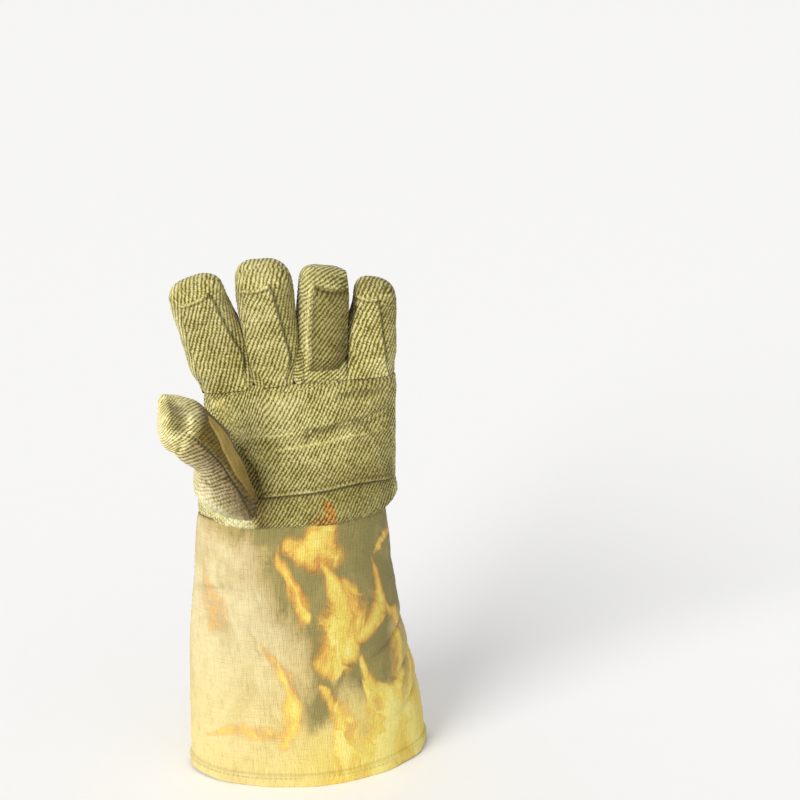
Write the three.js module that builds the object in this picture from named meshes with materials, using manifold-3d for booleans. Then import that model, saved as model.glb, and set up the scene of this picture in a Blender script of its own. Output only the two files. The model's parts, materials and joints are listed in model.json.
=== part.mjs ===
// A foundry glove: a heat-resistant gauntlet for the left hand, sewn from heavy aramid twill over felt, with a
// plain-woven cuff, a second layer of twill on the palm and a strip of it up the front of each finger.
//
// The glove stands on the mouth of its cuff with its fingers up. Millimetres, +Z up. The palm faces -Y and the
// thumb points to -X. The origin is on the floor, at the middle of the glove's bounding box.
import * as THREE from 'three';
import { mergeVertices } from 'three/addons/utils/BufferGeometryUtils.js';
import Module from 'manifold-3d';

const solids = await Module();
solids.setup();

// Driving dimensions
const WRIST_HEIGHT = 202; // the seam between cuff and hand
const HEM_HEIGHT = 9; // the turned band at the mouth of the cuff
const CUFF_WALL = 2.4; // plain cloth and its lining
const HEM_WALL = 4.4; // the same cloth turned back on itself
const HAND_WALL = 3.2; // twill and felt
const PATCH_THICKNESS = 1.8; // one layer of twill
const GAP = 0.3; // between pieces that are sewn face to face
const PAST = 10; // how far a cutting solid runs past what it cuts
const BLOCK_SIZE = 400; // larger than the glove's width
const SLEEVE_SIDES = 36;
const CUFF_ROWS = 15;
const FINGER_SIDES = 18;
const SLEEVE_SQUARENESS = 2.08; // 2 is an ellipse, and more is squarer
const FINGER_SQUARENESS = 2.5;

// The line across the knuckles where the fingers are sewn on: it climbs from the index to the little finger.
const knuckleHeight = (x) => 301 + 0.06 * x - 0.0008 * x * x;

// Level sections of the cuff, from its mouth to the wrist. `swing` carries the glove's right side backwards.
const CUFF_SECTIONS = [
  { height: 0, x: 3, halfWidth: 90, halfDepth: 47.5, swing: 0.17 },
  { height: 50, x: -0.5, halfWidth: 87, halfDepth: 46, swing: 0.16 },
  { height: 100, x: -4.5, halfWidth: 80.5, halfDepth: 43, swing: 0.14 },
  { height: 150, x: -7, halfWidth: 74, halfDepth: 38, swing: 0.12 },
  { height: 190, x: -7, halfWidth: 70, halfDepth: 34, swing: 0.1 },
  { height: WRIST_HEIGHT, x: -7, halfWidth: 68.5, halfDepth: 32, swing: 0.1 },
];

// Where the cloth sinks in. `angle` is in degrees about the sleeve, with 0 on the right and -90 at the palm.
// `tall` and `wide` are the half height and the half angle of a fold, and `slant` tilts it.
const FOLDS = [
  { height: 104, angle: -22, depth: 2.6, tall: 9, wide: 26, slant: 0.3 },
  { height: 78, angle: -18, depth: 2.2, tall: 8, wide: 24, slant: 0.3 },
  { height: 52, angle: -16, depth: 1.8, tall: 8, wide: 22, slant: 0.3 },
  { height: 150, angle: -150, depth: 1.6, tall: 22, wide: 24, slant: 0 },
  { height: 262, angle: -75, depth: 1.8, tall: 9, wide: 40, slant: -0.1 },
];

// Sections of the hand. `rise` goes from 0 at the wrist to 1 at the knuckle line.
const HAND_SECTIONS = [
  { rise: 0, x: -7, halfWidth: 68.5, halfDepth: 32, swing: 0.1 },
  { rise: 0.06, x: -4.5, halfWidth: 71.5, halfDepth: 34.5, swing: 0.1 },
  { rise: 0.22, x: -3.3, halfWidth: 71, halfDepth: 34, swing: 0.08 },
  { rise: 0.4, x: -2, halfWidth: 69.5, halfDepth: 31.5, swing: 0.06 },
  { rise: 0.6, x: -1, halfWidth: 68.5, halfDepth: 28, swing: 0.04 },
  { rise: 0.8, x: -0.5, halfWidth: 68, halfDepth: 24, swing: 0.03 },
  { rise: 0.94, x: -0.5, halfWidth: 68, halfDepth: 20.5, swing: 0.02 },
  { rise: 1, x: -0.5, halfWidth: 67.5, halfDepth: 18.2, swing: 0.02 },
];

// Each finger leans in degrees towards +X and curls in degrees towards the palm. `taper` is its width at the
// tip over its width at the root.
const FINGERS = [
  { name: 'index', x: -50.8, lean: -16, curl: 30, length: 88, halfWidth: 22.3, halfDepth: 17, taper: 0.87 },
  { name: 'middle', x: -16, lean: -7.4, curl: 30, length: 91.5, halfWidth: 20.8, halfDepth: 19, taper: 0.93 },
  { name: 'ring', x: 16, lean: -0.4, curl: 30, length: 81.5, halfWidth: 19.4, halfDepth: 19, taper: 0.95 },
  { name: 'little', x: 49.5, lean: 0.8, curl: 26, length: 71, halfWidth: 20, halfDepth: 16, taper: 0.8 },
];
const FINGER_Y = 0.5;

// The strip on each finger's front: how far it is turned about the finger, in degrees, and the share of the
// finger's length that it reaches.
const STRIPS = {
  index: { turn: -8, reach: 0.8 },
  middle: { turn: -26, reach: 0.77 },
  ring: { turn: 2, reach: 0.82 },
  little: { turn: -30, reach: 0.8 },
};
const STRIP_HALF_ANGLE = 40; // degrees about the finger
const STRIP_ROOT = -0.04; // its lower end, below the knuckle seam that trims it

// Shares of a finger's length, half width and half depth. The first row is inside the hand.
const FINGER_SECTIONS = [
  { at: -0.12, width: 0.8, depth: 0.98 },
  { at: 0.02, width: 0.84, depth: 1 },
  { at: 0.18, width: 0.95, depth: 1 },
  { at: 0.4, width: 1, depth: 1 },
  { at: 0.65, width: 1, depth: 0.97 },
  { at: 0.82, width: 0.98, depth: 0.92 },
  { at: 0.91, width: 0.93, depth: 0.84 },
  { at: 0.965, width: 0.82, depth: 0.68 },
  { at: 0.99, width: 0.6, depth: 0.45 },
];

// The thumb's centre line, from inside the palm to its blunt tip.
const THUMB_PATH = [
  { x: -45, y: 2, z: 184 },
  { x: -48, y: -13, z: 206 },
  { x: -52, y: -33, z: 229 },
  { x: -58, y: -50, z: 251 },
  { x: -66, y: -60, z: 273 },
  { x: -80, y: -67, z: 290 },
  { x: -99.5, y: -73, z: 294 },
];
const THUMB_SECTIONS = [
  { at: 0, halfWidth: 20, halfDepth: 18 },
  { at: 0.18, halfWidth: 21.5, halfDepth: 20 },
  { at: 0.36, halfWidth: 21, halfDepth: 20 },
  { at: 0.54, halfWidth: 20, halfDepth: 18.5 },
  { at: 0.7, halfWidth: 20.5, halfDepth: 17.5 },
  { at: 0.8, halfWidth: 21, halfDepth: 17.5 },
  { at: 0.9, halfWidth: 21.5, halfDepth: 17 },
  { at: 0.965, halfWidth: 20, halfDepth: 15 },
  { at: 0.99, halfWidth: 16.5, halfDepth: 11.5 },
];
const THUMB_PATCH = { from: 0.3, to: 0.78, start: -72, end: -8 }; // shares of the path, degrees about it

// The palm patch's left edge. `rise` is as on the hand. Its right edge is the seam down the hand's right side.
const PALM_PATCH_EDGE = [
  { rise: 0.215, x: -31 },
  { rise: 0.4, x: -36 },
  { rise: 0.5, x: -41 },
  { rise: 0.6, x: -46 },
  { rise: 0.7, x: -53 },
  { rise: 0.8, x: -60 },
  { rise: 0.94, x: -62 },
  { rise: 0.985, x: -62 },
];
const PALM_PATCH_COLUMNS = 18;

const COLOURS = { twill: 0xbdb06a, plain: 0xe0c878 };
const twill = () => new THREE.MeshStandardMaterial({ color: COLOURS.twill, roughness: 0.95, metalness: 0 });
const plainWeave = () => new THREE.MeshStandardMaterial({ color: COLOURS.plain, roughness: 0.9, metalness: 0 });

// Shapes

const radians = THREE.MathUtils.degToRad;
const lerp = THREE.MathUtils.lerp;
const signedPower = (value, power) => Math.sign(value) * Math.abs(value) ** power;

/** The row of `table` at `place`, with its columns interpolated. `key` is the column that rises row by row. */
function rowAt(table, key, place) {
  const last = table.length - 2;
  const found = table.findIndex((row, index) => index === last || place <= table[index + 1][key]);
  const [low, high] = [table[found], table[found + 1]];
  const share = (place - low[key]) / (high[key] - low[key]);
  return Object.fromEntries(Object.keys(low).map((column) => [column, lerp(low[column], high[column], share)]));
}

/** A point on a rounded rectangle about the origin, at an angle in radians. */
function roundedPoint(angle, halfWidth, halfDepth, squareness) {
  const power = 2 / squareness;
  return [halfWidth * signedPower(Math.cos(angle), power), halfDepth * signedPower(Math.sin(angle), power)];
}

/**
 * A closed solid skinned over rings of equal length. The last ring may be one point, which makes a pole. Each
 * end is closed by joining a ring's points in pairs across it: point 0 stands alone when `loneStart`, or else it
 * is paired with the last point.
 */
function skin(rings, loneStart = true) {
  const count = rings[0].length;
  const faces = [];
  const addFace = (...corners) => {
    if (new Set(corners).size === 3) faces.push(...corners);
  };
  const addEnd = (start, turned) => {
    const partner = (side) => (2 * count - (loneStart ? 0 : 1) - side) % count;
    for (let side = 0; side < count / 2; side++) {
      const corners = [side, side + 1, partner(side), partner(side + 1)];
      const [here, next, far, farNext] = corners.map((corner) => start + corner);
      addFace(...(turned ? [far, farNext, here] : [far, here, farNext]));
      addFace(...(turned ? [farNext, next, here] : [here, next, farNext]));
    }
  };
  rings.slice(1).forEach((ring, row) => {
    const [low, high] = [row * count, (row + 1) * count];
    for (let side = 0; side < count; side++) {
      const next = (side + 1) % count;
      const highNext = ring.length > 1 ? high + next : high;
      addFace(low + side, low + next, highNext);
      addFace(low + side, highNext, ring.length > 1 ? high + side : high);
    }
  });
  addEnd(0, true);
  if (rings.at(-1).length > 1) addEnd((rings.length - 1) * count, false);
  return solidOf(new THREE.BufferGeometry().setFromPoints(rings.flat()).setIndex(faces));
}

/** A geometry as a manifold solid. */
function solidOf(geometry) {
  const bare = geometry.clone();
  bare.deleteAttribute('normal');
  bare.deleteAttribute('uv');
  const merged = mergeVertices(bare, 1e-4);
  const made = new solids.Manifold(new solids.Mesh({
    numProp: 3,
    vertProperties: new Float32Array(merged.attributes.position.array),
    triVerts: new Uint32Array(merged.index.array),
  }));
  if (made.volume() <= 0) throw new Error('a solid is inside out');
  return made;
}

/** A manifold solid as a named mesh. */
function meshOf(name, solid, material) {
  const made = solid.getMesh();
  const geometry = new THREE.BufferGeometry();
  geometry.setAttribute('position', new THREE.BufferAttribute(new Float32Array(made.vertProperties), 3));
  geometry.setIndex(new THREE.BufferAttribute(new Uint32Array(made.triVerts), 1));
  geometry.computeVertexNormals();
  const mesh = new THREE.Mesh(geometry, material);
  mesh.name = name;
  return mesh;
}

/** How far the folds sink the sleeve in at an angle in radians and a height. */
function foldDepth(angle, height) {
  return FOLDS.reduce((depth, fold) => {
    const turned = THREE.MathUtils.radToDeg(angle) - fold.angle;
    const around = THREE.MathUtils.euclideanModulo(turned + 180, 360) - 180;
    const along = (height - fold.height - fold.slant * around) / fold.tall;
    return depth + fold.depth * Math.exp(-(along ** 2) - (around / fold.wide) ** 2);
  }, 0);
}

/** A point on the sleeve that the cuff and the hand make. `grow` moves it off the surface. */
function sleevePoint(section, angle, grow, heightAt) {
  const height = heightAt(section.x + section.halfWidth * Math.cos(angle));
  const offset = grow - foldDepth(angle, height);
  const [x, y] = roundedPoint(angle, section.halfWidth + offset, section.halfDepth + offset, SLEEVE_SQUARENESS);
  const swung = section.swing * section.halfWidth * Math.max(0, x / section.halfWidth) ** 2;
  const placeX = section.x + x;
  return new THREE.Vector3(placeX, y + swung, heightAt(placeX));
}

function sleeveRing(section, grow, heightAt) {
  return Array.from({ length: SLEEVE_SIDES }, (_, side) => (
    sleevePoint(section, (2 * Math.PI * side) / SLEEVE_SIDES, grow, heightAt)));
}

/** The height of a place on the hand: the share `rise` of the way up to the knuckles, and `raise` more. */
const handHeight = (rise, raise = 0) => (x) => lerp(WRIST_HEIGHT, knuckleHeight(x), rise) + raise;

// The cuff

function cuffSolid(grow, from, to) {
  const rows = Math.max(1, Math.round(((to - from) / WRIST_HEIGHT) * CUFF_ROWS));
  const heights = Array.from({ length: rows + 1 }, (_, row) => lerp(from, to, row / rows));
  return skin(heights.map((height) => sleeveRing(rowAt(CUFF_SECTIONS, 'height', height), grow, () => height)));
}

/** The cuff's tube with its bore cut out. */
function cuffTube(outerGrow, wall, from, to) {
  return cuffSolid(outerGrow, from, to).subtract(cuffSolid(outerGrow - wall, from - PAST, to + PAST));
}

// The hand

/** The hand filled: its sides offset by `grow` and its top by `raise`, and carried on `drop` below the wrist. */
function handSolid(grow, raise = grow, drop = 0) {
  const rings = HAND_SECTIONS.map((section) => (
    sleeveRing(section, grow, handHeight(section.rise, section.rise === 1 ? raise : 0))));
  const foot = drop > 0 ? [sleeveRing(HAND_SECTIONS[0], grow, () => WRIST_HEIGHT - drop)] : [];
  return skin([...foot, ...rings]);
}

/** The second layer of twill on the palm, as a closed strip of the hand's surface. */
function palmPatch() {
  const rings = PALM_PATCH_EDGE.map((edge) => {
    const section = rowAt(HAND_SECTIONS, 'rise', edge.rise);
    const leftAngle = -Math.acos(signedPower((edge.x - section.x) / section.halfWidth, SLEEVE_SQUARENESS / 2));
    const arc = (grow) => Array.from({ length: PALM_PATCH_COLUMNS + 1 }, (_, column) => (
      sleevePoint(section, lerp(leftAngle, 0, column / PALM_PATCH_COLUMNS), grow, handHeight(edge.rise))));
    return [...arc(GAP + PATCH_THICKNESS), ...arc(0).reverse()];
  });
  return skin(rings, false).subtract(handSolid(GAP));
}

// Fingers and thumb

/** The frame at a share of a finger's centre line: its place, and the unit vectors across, back and ahead. */
function fingerFrame(finger, at) {
  const steps = 24; // of the sum along the curl
  const lean = radians(finger.lean);
  const heading = (share) => {
    const curl = radians(finger.curl) * share;
    return new THREE.Vector3(Math.sin(lean) * Math.cos(curl), -Math.sin(curl), Math.cos(lean) * Math.cos(curl));
  };
  const place = new THREE.Vector3(finger.x, FINGER_Y, knuckleHeight(finger.x));
  for (let step = 0; step < steps; step++) {
    place.addScaledVector(heading((at * (step + 0.5)) / steps), (finger.length * at) / steps);
  }
  const across = new THREE.Vector3(Math.cos(lean), 0, -Math.sin(lean));
  const back = new THREE.Vector3().crossVectors(heading(at), across).normalize();
  return { place, across, back, ahead: heading(at) };
}

function fingerSection(finger, share) {
  const row = rowAt(FINGER_SECTIONS, 'at', share);
  const taper = lerp(1, finger.taper, Math.max(0, share));
  return { halfWidth: finger.halfWidth * row.width * taper, halfDepth: finger.halfDepth * row.depth };
}

const thumbCurve = new THREE.CatmullRomCurve3(THUMB_PATH.map(({ x, y, z }) => new THREE.Vector3(x, y, z)));

function thumbFrame(at) {
  const ahead = thumbCurve.getTangentAt(at);
  const towardsBack = new THREE.Vector3(0, 1, 0.25); // the thumb's back turns up a little
  const across = new THREE.Vector3().crossVectors(towardsBack, ahead).normalize();
  const back = new THREE.Vector3().crossVectors(ahead, across).normalize();
  return { place: thumbCurve.getPointAt(at), across, back, ahead };
}

/** A point on a finger or thumb; `push` carries it along the centre line. */
function tubePoint(frame, size, angle, grow, push = 0) {
  const [across, back] = roundedPoint(angle, size.halfWidth + grow, size.halfDepth + grow, FINGER_SQUARENESS);
  return frame.place.clone()
    .addScaledVector(frame.across, across)
    .addScaledVector(frame.back, back)
    .addScaledVector(frame.ahead, push);
}

/** A filled finger or thumb. `grow` offsets its surface, and the tip half along its centre line too. */
function tubeSolid(shares, frameAt, sizeAt, grow) {
  const rings = shares.map((share) => {
    const push = share > 0.5 ? grow : 0;
    return Array.from({ length: FINGER_SIDES }, (_, side) => (
      tubePoint(frameAt(share), sizeAt(share), (2 * Math.PI * side) / FINGER_SIDES, grow, push)));
  });
  const tip = frameAt(1);
  return skin([...rings, [tip.place.clone().addScaledVector(tip.ahead, grow)]]);
}

const fingerShares = FINGER_SECTIONS.map((row) => row.at);
const fingerSolid = (finger, grow) => tubeSolid(
  fingerShares, (at) => fingerFrame(finger, at), (at) => fingerSection(finger, at), grow);

const thumbShares = THUMB_SECTIONS.map((row) => row.at);
const thumbSize = (share) => rowAt(THUMB_SECTIONS, 'at', share);
const thumbSolid = (grow) => tubeSolid(thumbShares, thumbFrame, thumbSize, grow);

/** A strip of cloth on a finger or thumb, between two angles in degrees and two shares of its length. */
function tubeStrip({ from, to, start, end }, shares, frameAt, sizeAt) {
  const columns = 6;
  const least = 0.01; // between two rows
  const between = shares.filter((at) => at > from + least && at < to - least);
  const rings = [from, ...between, to].map((share) => {
    const arc = (grow) => Array.from({ length: columns + 1 }, (_, column) => (
      tubePoint(frameAt(share), sizeAt(share), radians(lerp(start, end, column / columns)), grow)));
    return [...arc(GAP + PATCH_THICKNESS), ...arc(0).reverse()];
  });
  return skin(rings, false);
}

/** A block that fills the space to one side, -1 or 1, of the plane midway between two neighbouring fingers. */
function sideBlock(left, right, side) {
  const compared = 0.45; // the share of their length at which the fingers' middles are compared
  const share = left.halfWidth / (left.halfWidth + right.halfWidth);
  const between = (at) => fingerFrame(left, at).place.lerp(fingerFrame(right, at).place, share);
  const [low, high] = [between(0), between(compared)];
  const block = new THREE.BoxGeometry(BLOCK_SIZE, BLOCK_SIZE, BLOCK_SIZE);
  block.translate(side * (BLOCK_SIZE / 2 - GAP / 2), 0, 0);
  block.rotateY(Math.atan2(high.x - low.x, high.z - low.z));
  block.translate(low.x, low.y, low.z);
  return solidOf(block);
}

// Assembly

const glove = new THREE.Group();
const add = (name, solid, material) => glove.add(meshOf(name, solid, material));

const thumbBore = thumbSolid(-HAND_WALL);
const fingerBores = FINGERS.map((finger) => fingerSolid(finger, -HAND_WALL));
const belowWrist = solidOf(
  new THREE.BoxGeometry(BLOCK_SIZE, BLOCK_SIZE, BLOCK_SIZE).translate(0, 0, WRIST_HEIGHT - BLOCK_SIZE / 2));
const belowKnuckles = handSolid(PAST, GAP);
const without = (solid, cutters) => cutters.reduce((left, cutter) => left.subtract(cutter), solid);

add('cuff_hem', cuffTube((HEM_WALL - CUFF_WALL) / 2, HEM_WALL, 0, HEM_HEIGHT), plainWeave());
add('cuff', cuffTube(0, CUFF_WALL, HEM_HEIGHT + GAP, WRIST_HEIGHT - GAP), plainWeave());

const handBore = handSolid(-HAND_WALL, -HAND_WALL, PAST);
add('hand', without(handSolid(0), [handBore, thumbBore, ...fingerBores]), twill());
add('palm_patch', palmPatch().subtract(thumbSolid(GAP)), twill());

const handBelow = handSolid(GAP, GAP, 4 * PAST); // carried on past the thumb's root
add('thumb', without(thumbSolid(0), [thumbBore, handBelow, belowWrist]), twill());
const thumbPatch = tubeStrip(THUMB_PATCH, thumbShares, thumbFrame, thumbSize);
add('thumb_patch', without(thumbPatch, [thumbSolid(GAP), handSolid(GAP + PATCH_THICKNESS + GAP)]), twill());

FINGERS.forEach((finger, index) => {
  const trims = [belowKnuckles];
  if (index > 0) trims.push(sideBlock(FINGERS[index - 1], finger, -1));
  if (index < FINGERS.length - 1) trims.push(sideBlock(finger, FINGERS[index + 1], 1));
  add(`${finger.name}_finger`, without(fingerSolid(finger, 0), [fingerBores[index], ...trims]), twill());

  const { turn, reach } = STRIPS[finger.name];
  const [start, end] = [-STRIP_HALF_ANGLE, STRIP_HALF_ANGLE].map((side) => turn - 90 + side);
  const area = { from: STRIP_ROOT, to: reach, start, end };
  const strip = tubeStrip(
    area, fingerShares, (at) => fingerFrame(finger, at), (at) => fingerSection(finger, at));
  add(`${finger.name}_strip`, without(strip, [fingerSolid(finger, GAP), ...trims]), twill());
});

// The origin goes to the middle of the bounding box, on the floor.
const bounds = new THREE.Box3().setFromObject(glove);
const middle = bounds.getCenter(new THREE.Vector3());
glove.position.set(-middle.x, -middle.y, 0);

export default glove;
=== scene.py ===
"""A heat-resistant foundry glove, dressed in twill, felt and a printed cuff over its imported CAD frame.

Lengths in the tables are millimetres in the same axes as the part's source: +Z up, the palm towards -Y, the
thumb towards -X. The finished pieces are in metres about the middle of the glove's footprint.
"""

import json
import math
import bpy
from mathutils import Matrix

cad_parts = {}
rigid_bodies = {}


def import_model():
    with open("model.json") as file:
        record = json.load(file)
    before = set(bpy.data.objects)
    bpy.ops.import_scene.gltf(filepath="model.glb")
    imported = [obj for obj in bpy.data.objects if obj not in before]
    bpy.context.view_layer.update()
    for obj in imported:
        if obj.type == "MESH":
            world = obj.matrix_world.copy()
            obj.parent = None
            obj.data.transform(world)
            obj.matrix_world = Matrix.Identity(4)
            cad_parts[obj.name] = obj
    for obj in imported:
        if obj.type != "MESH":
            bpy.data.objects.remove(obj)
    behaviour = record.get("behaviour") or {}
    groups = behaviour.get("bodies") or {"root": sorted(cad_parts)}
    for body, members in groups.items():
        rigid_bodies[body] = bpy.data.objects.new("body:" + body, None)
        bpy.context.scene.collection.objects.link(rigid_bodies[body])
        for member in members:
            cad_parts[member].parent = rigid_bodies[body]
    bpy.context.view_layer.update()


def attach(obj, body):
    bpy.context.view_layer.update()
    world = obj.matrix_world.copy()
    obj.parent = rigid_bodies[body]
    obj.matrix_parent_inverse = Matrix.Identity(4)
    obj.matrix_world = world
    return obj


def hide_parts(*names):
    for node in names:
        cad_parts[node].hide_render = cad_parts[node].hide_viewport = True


bl_info = {
    "name": "Foundry Glove",
    "version": (1, 0, 0),
    "blender": (4, 5, 0),
    "location": "3D View > Sidebar > Glove",
    "description": "Builds a left-hand foundry gauntlet of twill with a flame-printed cuff",
    "category": "Add Mesh",
}

from functools import partial

import bpy
import numpy as np
from mathutils import Vector

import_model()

MIDDLE = (-4.443, -19.081)  # the middle of the glove's bounding box in the tables' x and y
MM = 0.001

CUFF_WALL = 2.4
HEM_WALL = 3.4
HAND_WALL = 3.2  # also the fingers' and the thumb's
COARSE = 5  # how many gaps between a face's points lie over one gap of its lining
FRONT_AND_BACK = ((-180, 0), (0, 180))  # the angles between which a tube's two panels lie
SIDES = (-180, 0, 180)  # the angles at which the two panels meet
LINING_TOP = 0.965  # how far up a finger or the thumb its lining reaches

# How long a panel is across, for the number of its points.
HAND_ROUND = 165.0
FINGER_ROUND = 62.0
THUMB_ROUND = 64.0
STRIP_WIDTH = 27.0
PATCH_SIZE = (120.0, 78.0)
THUMB_PATCH_SIZE = (20.0, 90.0)

# Millimetres round the cuff and the hand for each degree, and the radius of a finger or the thumb.
CUFF_DEGREE = 1.15
HAND_DEGREE = 0.75
TUBE_RADIUS = 18.0

# Tables of the part's form

WRIST_HEIGHT = 202.0
HEM_HEIGHT = 9.0
HAND_RISE = 99.0  # from the wrist seam to the knuckle seam

# How many times as wide as deep the cuff and the hand are, and their squareness.
CUFF_FORM = (2.0, 2.08)
HAND_FORM = (2.6, 2.2)
PATCH_SQUARENESS = 2.3

# Level sections of the cuff: height, middle x, half width, half depth, swing of the right side to the back.
CUFF_SECTIONS = (
    (0, 3, 90, 47.5, 0.17),
    (50, -0.5, 87, 46, 0.16),
    (100, -4.5, 80.5, 43, 0.14),
    (150, -7, 74, 38, 0.12),
    (190, -7, 70, 34, 0.1),
    (202, -7, 68.5, 32, 0.1),
)

# Sections of the hand, from 0 at the wrist to 1 at the knuckles: the same columns, then squareness.
HAND_SECTIONS = (
    (0, -7, 68.5, 32, 0.1, 2.08),
    (0.06, -4.5, 71.5, 34.5, 0.1, 2.08),
    (0.22, -3.3, 71, 34, 0.08, 2.1),
    (0.4, -2, 69.5, 31.5, 0.06, 2.15),
    (0.6, -1, 68.5, 28, 0.04, 2.25),
    (0.8, -0.5, 68, 24, 0.03, 2.45),
    (0.94, -0.5, 68, 20.5, 0.02, 2.7),
    (1, -0.5, 67.5, 18.6, 0.02, 2.8),
)

# Dents in the sleeve: height, angle about it in degrees, depth, half height, half angle, slant.
CUFF_DENTS = (
    (104, -22, 2.6, 9, 26, 0.3),
    (78, -18, 2.2, 8, 24, 0.3),
    (52, -16, 1.8, 8, 22, 0.3),
    (150, -150, 1.6, 22, 24, 0),
)
PALM_DENT = (262, -75, 1.8, 9, 40, -0.1)

# Each finger: place across the knuckles, lean and curl in degrees, length, half width, half depth, taper.
FINGERS = {
    "index": (-50.8, -16, 30, 86.8, 22.3, 17, 0.87),
    "middle": (-16, -7.4, 30, 90, 20.8, 19, 0.93),
    "ring": (16, -0.4, 30, 81, 19.4, 19, 0.95),
    "little": (49.5, 0.8, 26, 70.5, 20, 16, 0.8),
}

# Each finger's tip: its slant to the right, then how much wider its left and right sides are there.
TIPS = {
    "index": (0.6, 0.02, -0.02),
    "middle": (-2.4, 0.0, 0.02),
    "ring": (-3.6, -0.07, 0.22),
    "little": (-2.0, -0.2, 0.04),
}

# How much wider a finger's left and right sides are where it leaves the hand.
FEET = {"index": (0.04, 0.27), "middle": (0.27, 0.04), "ring": (0.04, 0.06), "little": (0.06, 0.0)}

# The angle of the ribs on each finger, in degrees above the horizontal.
FINGER_RIBS = {"index": 74, "middle": 72, "ring": 44, "little": 66}

SEEDS = {"index": 60, "middle": 70, "ring": 80, "little": 90}  # where each finger's random numbers start
FINGER_Y = 0.5  # where the fingers' middle lines start, from front to back
FINGER_SQUARENESS = 2.5
ROOT_SQUARENESS = 14.0
ROOT_SHARE = 0.24  # the share of a finger over which it changes from its place in the hand to a tube
TIP_SHARE = 0.82  # where a finger starts to round off

# Shares of a finger's length, half width and half depth.
FINGER_SECTIONS = (
    (-0.12, 0.8, 0.98),
    (0.02, 0.84, 1),
    (0.18, 0.95, 1),
    (0.4, 1, 1),
    (0.65, 1, 0.97),
    (0.82, 0.98, 0.93),
    (1.0, 0.97, 0.9),
)

KNUCKLE_EDGES = (-70.0, 67.0)  # the fingers' feet reach from one to the other across the hand

# The planes between the fingers bend aside at the crotches: by how far, and over what height.
WALL_SHIFTS = ((-0.5, 20), (-6, 38), (-4.5, 26))

# The strip up each finger's front. Its corners are a share of the finger's length and an angle about it, in
# the order left foot, left top, right foot, right top. Then come its rise off the finger, the ridge outside
# its left edge and the ridge inside its right edge.
STRIPS = {
    "index": ((0.0, -140), (0.95, -130), (0.0, -52), (0.975, -60), 0.8, 0.1, 0.3),
    "middle": ((0.0, -136), (0.915, -142), (0.0, -57), (0.972, -78), 0.9, 0.1, 1.1),
    "ring": ((0.11, -119), (0.985, -121), (0.11, -44), (0.972, -36), 0.15, 1.4, 0.3),
    "little": ((0.0, -140), (0.94, -150), (0.0, -52), (0.965, -80), 0.7, 0.1, 0.4),
}

STRIP_RIBS = {"index": 62, "middle": 61, "ring": 58, "little": 70}

# How far each strip, and the finger's side to the right of it, is darkened with painted shade.
STRIP_SHADE = {"index": 0.0, "middle": 0.07, "ring": 0.5, "little": -0.06}
SIDE_SHADE = {"index": 0.12, "middle": 0.26, "ring": 0.3, "little": 0.2}

# The gussets' ends between the fingers: foot and top as x and height, half width, rise off the palm and the
# angle of their ribs.
GUSSETS = (
    ((-29.0, 300.5), (-34.5, 314), 5.5, 2.0, 76),
    ((-2.5, 300.5), (-1.0, 330), 5.2, 1.6, 12),
    ((28.5, 302.0), (29.0, 316), 4.6, 1.6, 50),
)

# Points of the thumb's middle line, from inside the palm to the tip.
THUMB_PATH = (
    (-45, 2, 184),
    (-48, -13, 206),
    (-52, -33, 229),
    (-58, -50, 251),
    (-66, -60, 273),
    (-80, -67, 288),
    (-100.5, -73, 297.5),
)

# Shares of the thumb's length, half width and half depth.
THUMB_SECTIONS = (
    (0, 20, 18),
    (0.18, 21.5, 20),
    (0.36, 21, 20),
    (0.54, 20, 18.5),
    (0.7, 20.5, 17.5),
    (0.8, 21, 17.5),
    (0.9, 21.5, 17),
    (1, 21.5, 17),
)

# The seam that the thumb turns to the front, and the patch's left edge: share of the length, angle.
THUMB_SEAM = ((0, -40), (0.216, -47), (0.462, -55), (0.62, -70), (0.72, -82), (0.86, -80), (1, -80))
THUMB_PATCH_LEFT = ((0.26, -14), (0.34, -30), (0.42, -38), (0.6, -58), (0.72, -60), (0.84, -30))
THUMB_PATCH_RIGHT = -2

# The line, as x and height, below which the front of the thumb sinks into the palm, and how steeply it does.
THUMB_FOOT = ((-73, 231), (-33, 204.5))
THUMB_FOOT_SLOPE = 1.1
THUMB_FOOT_DEPTH = 5.0  # how far back, in y, the sunk foot may reach

# The line, as x and height, below which the thumb's ribs give way to plain pale cloth.
THUMB_HEM = ((-72.4, 235), (-36, 206))

# The line, as x and height, along which the thumb shades the palm.
THUMB_SHADE = ((-46, 262), (-37, 244), (-32, 227), (-31, 200))

# The share of the thumb at which it starts, inside the palm, and the angle that its points are spaced evenly
# about before they are turned with its front seam.
THUMB_START = 0.1
THUMB_TURN = 84

# Folds near the thumb's tip: share of the length, start and end angle, rise, half width and darkness of
# their painted shade.
THUMB_FOLDS = (
    (0.963, -56, 12, 1.2, 1.7, 0.0),
    (0.925, -86, -10, -2.4, 5.5, 0.6),
    (0.885, -70, -32, 1.5, 1.6, -0.3),
    (0.9, -160, -112, -1.2, 2.6, 0.3),
)

# The palm patch: the shares of the hand's rise that it spans, its left edge by that share, then its foot and
# its top by x.
PATCH_SPAN = (0.215, 0.985)
PATCH_LEFT = (
    (0.215, -31), (0.4, -36), (0.5, -41), (0.6, -46), (0.7, -53), (0.8, -60), (0.94, -63), (1, -63),
)
PATCH_FOOT = (
    (-60, 219.5), (-38, 221), (-17, 222.7), (8, 224.2), (26, 226), (39, 227.2), (52, 226), (68, 223),
)
PATCH_TOP = (
    (-66, 291), (-56, 292.5), (-41, 296.5), (-31, 302), (-27.5, 303), (-24, 297.5), (-15, 296.4),
    (-5, 296.2), (3, 298.6), (22, 301), (31.5, 302.6), (45, 301.4), (62, 300.5), (68, 300),
)
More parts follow.
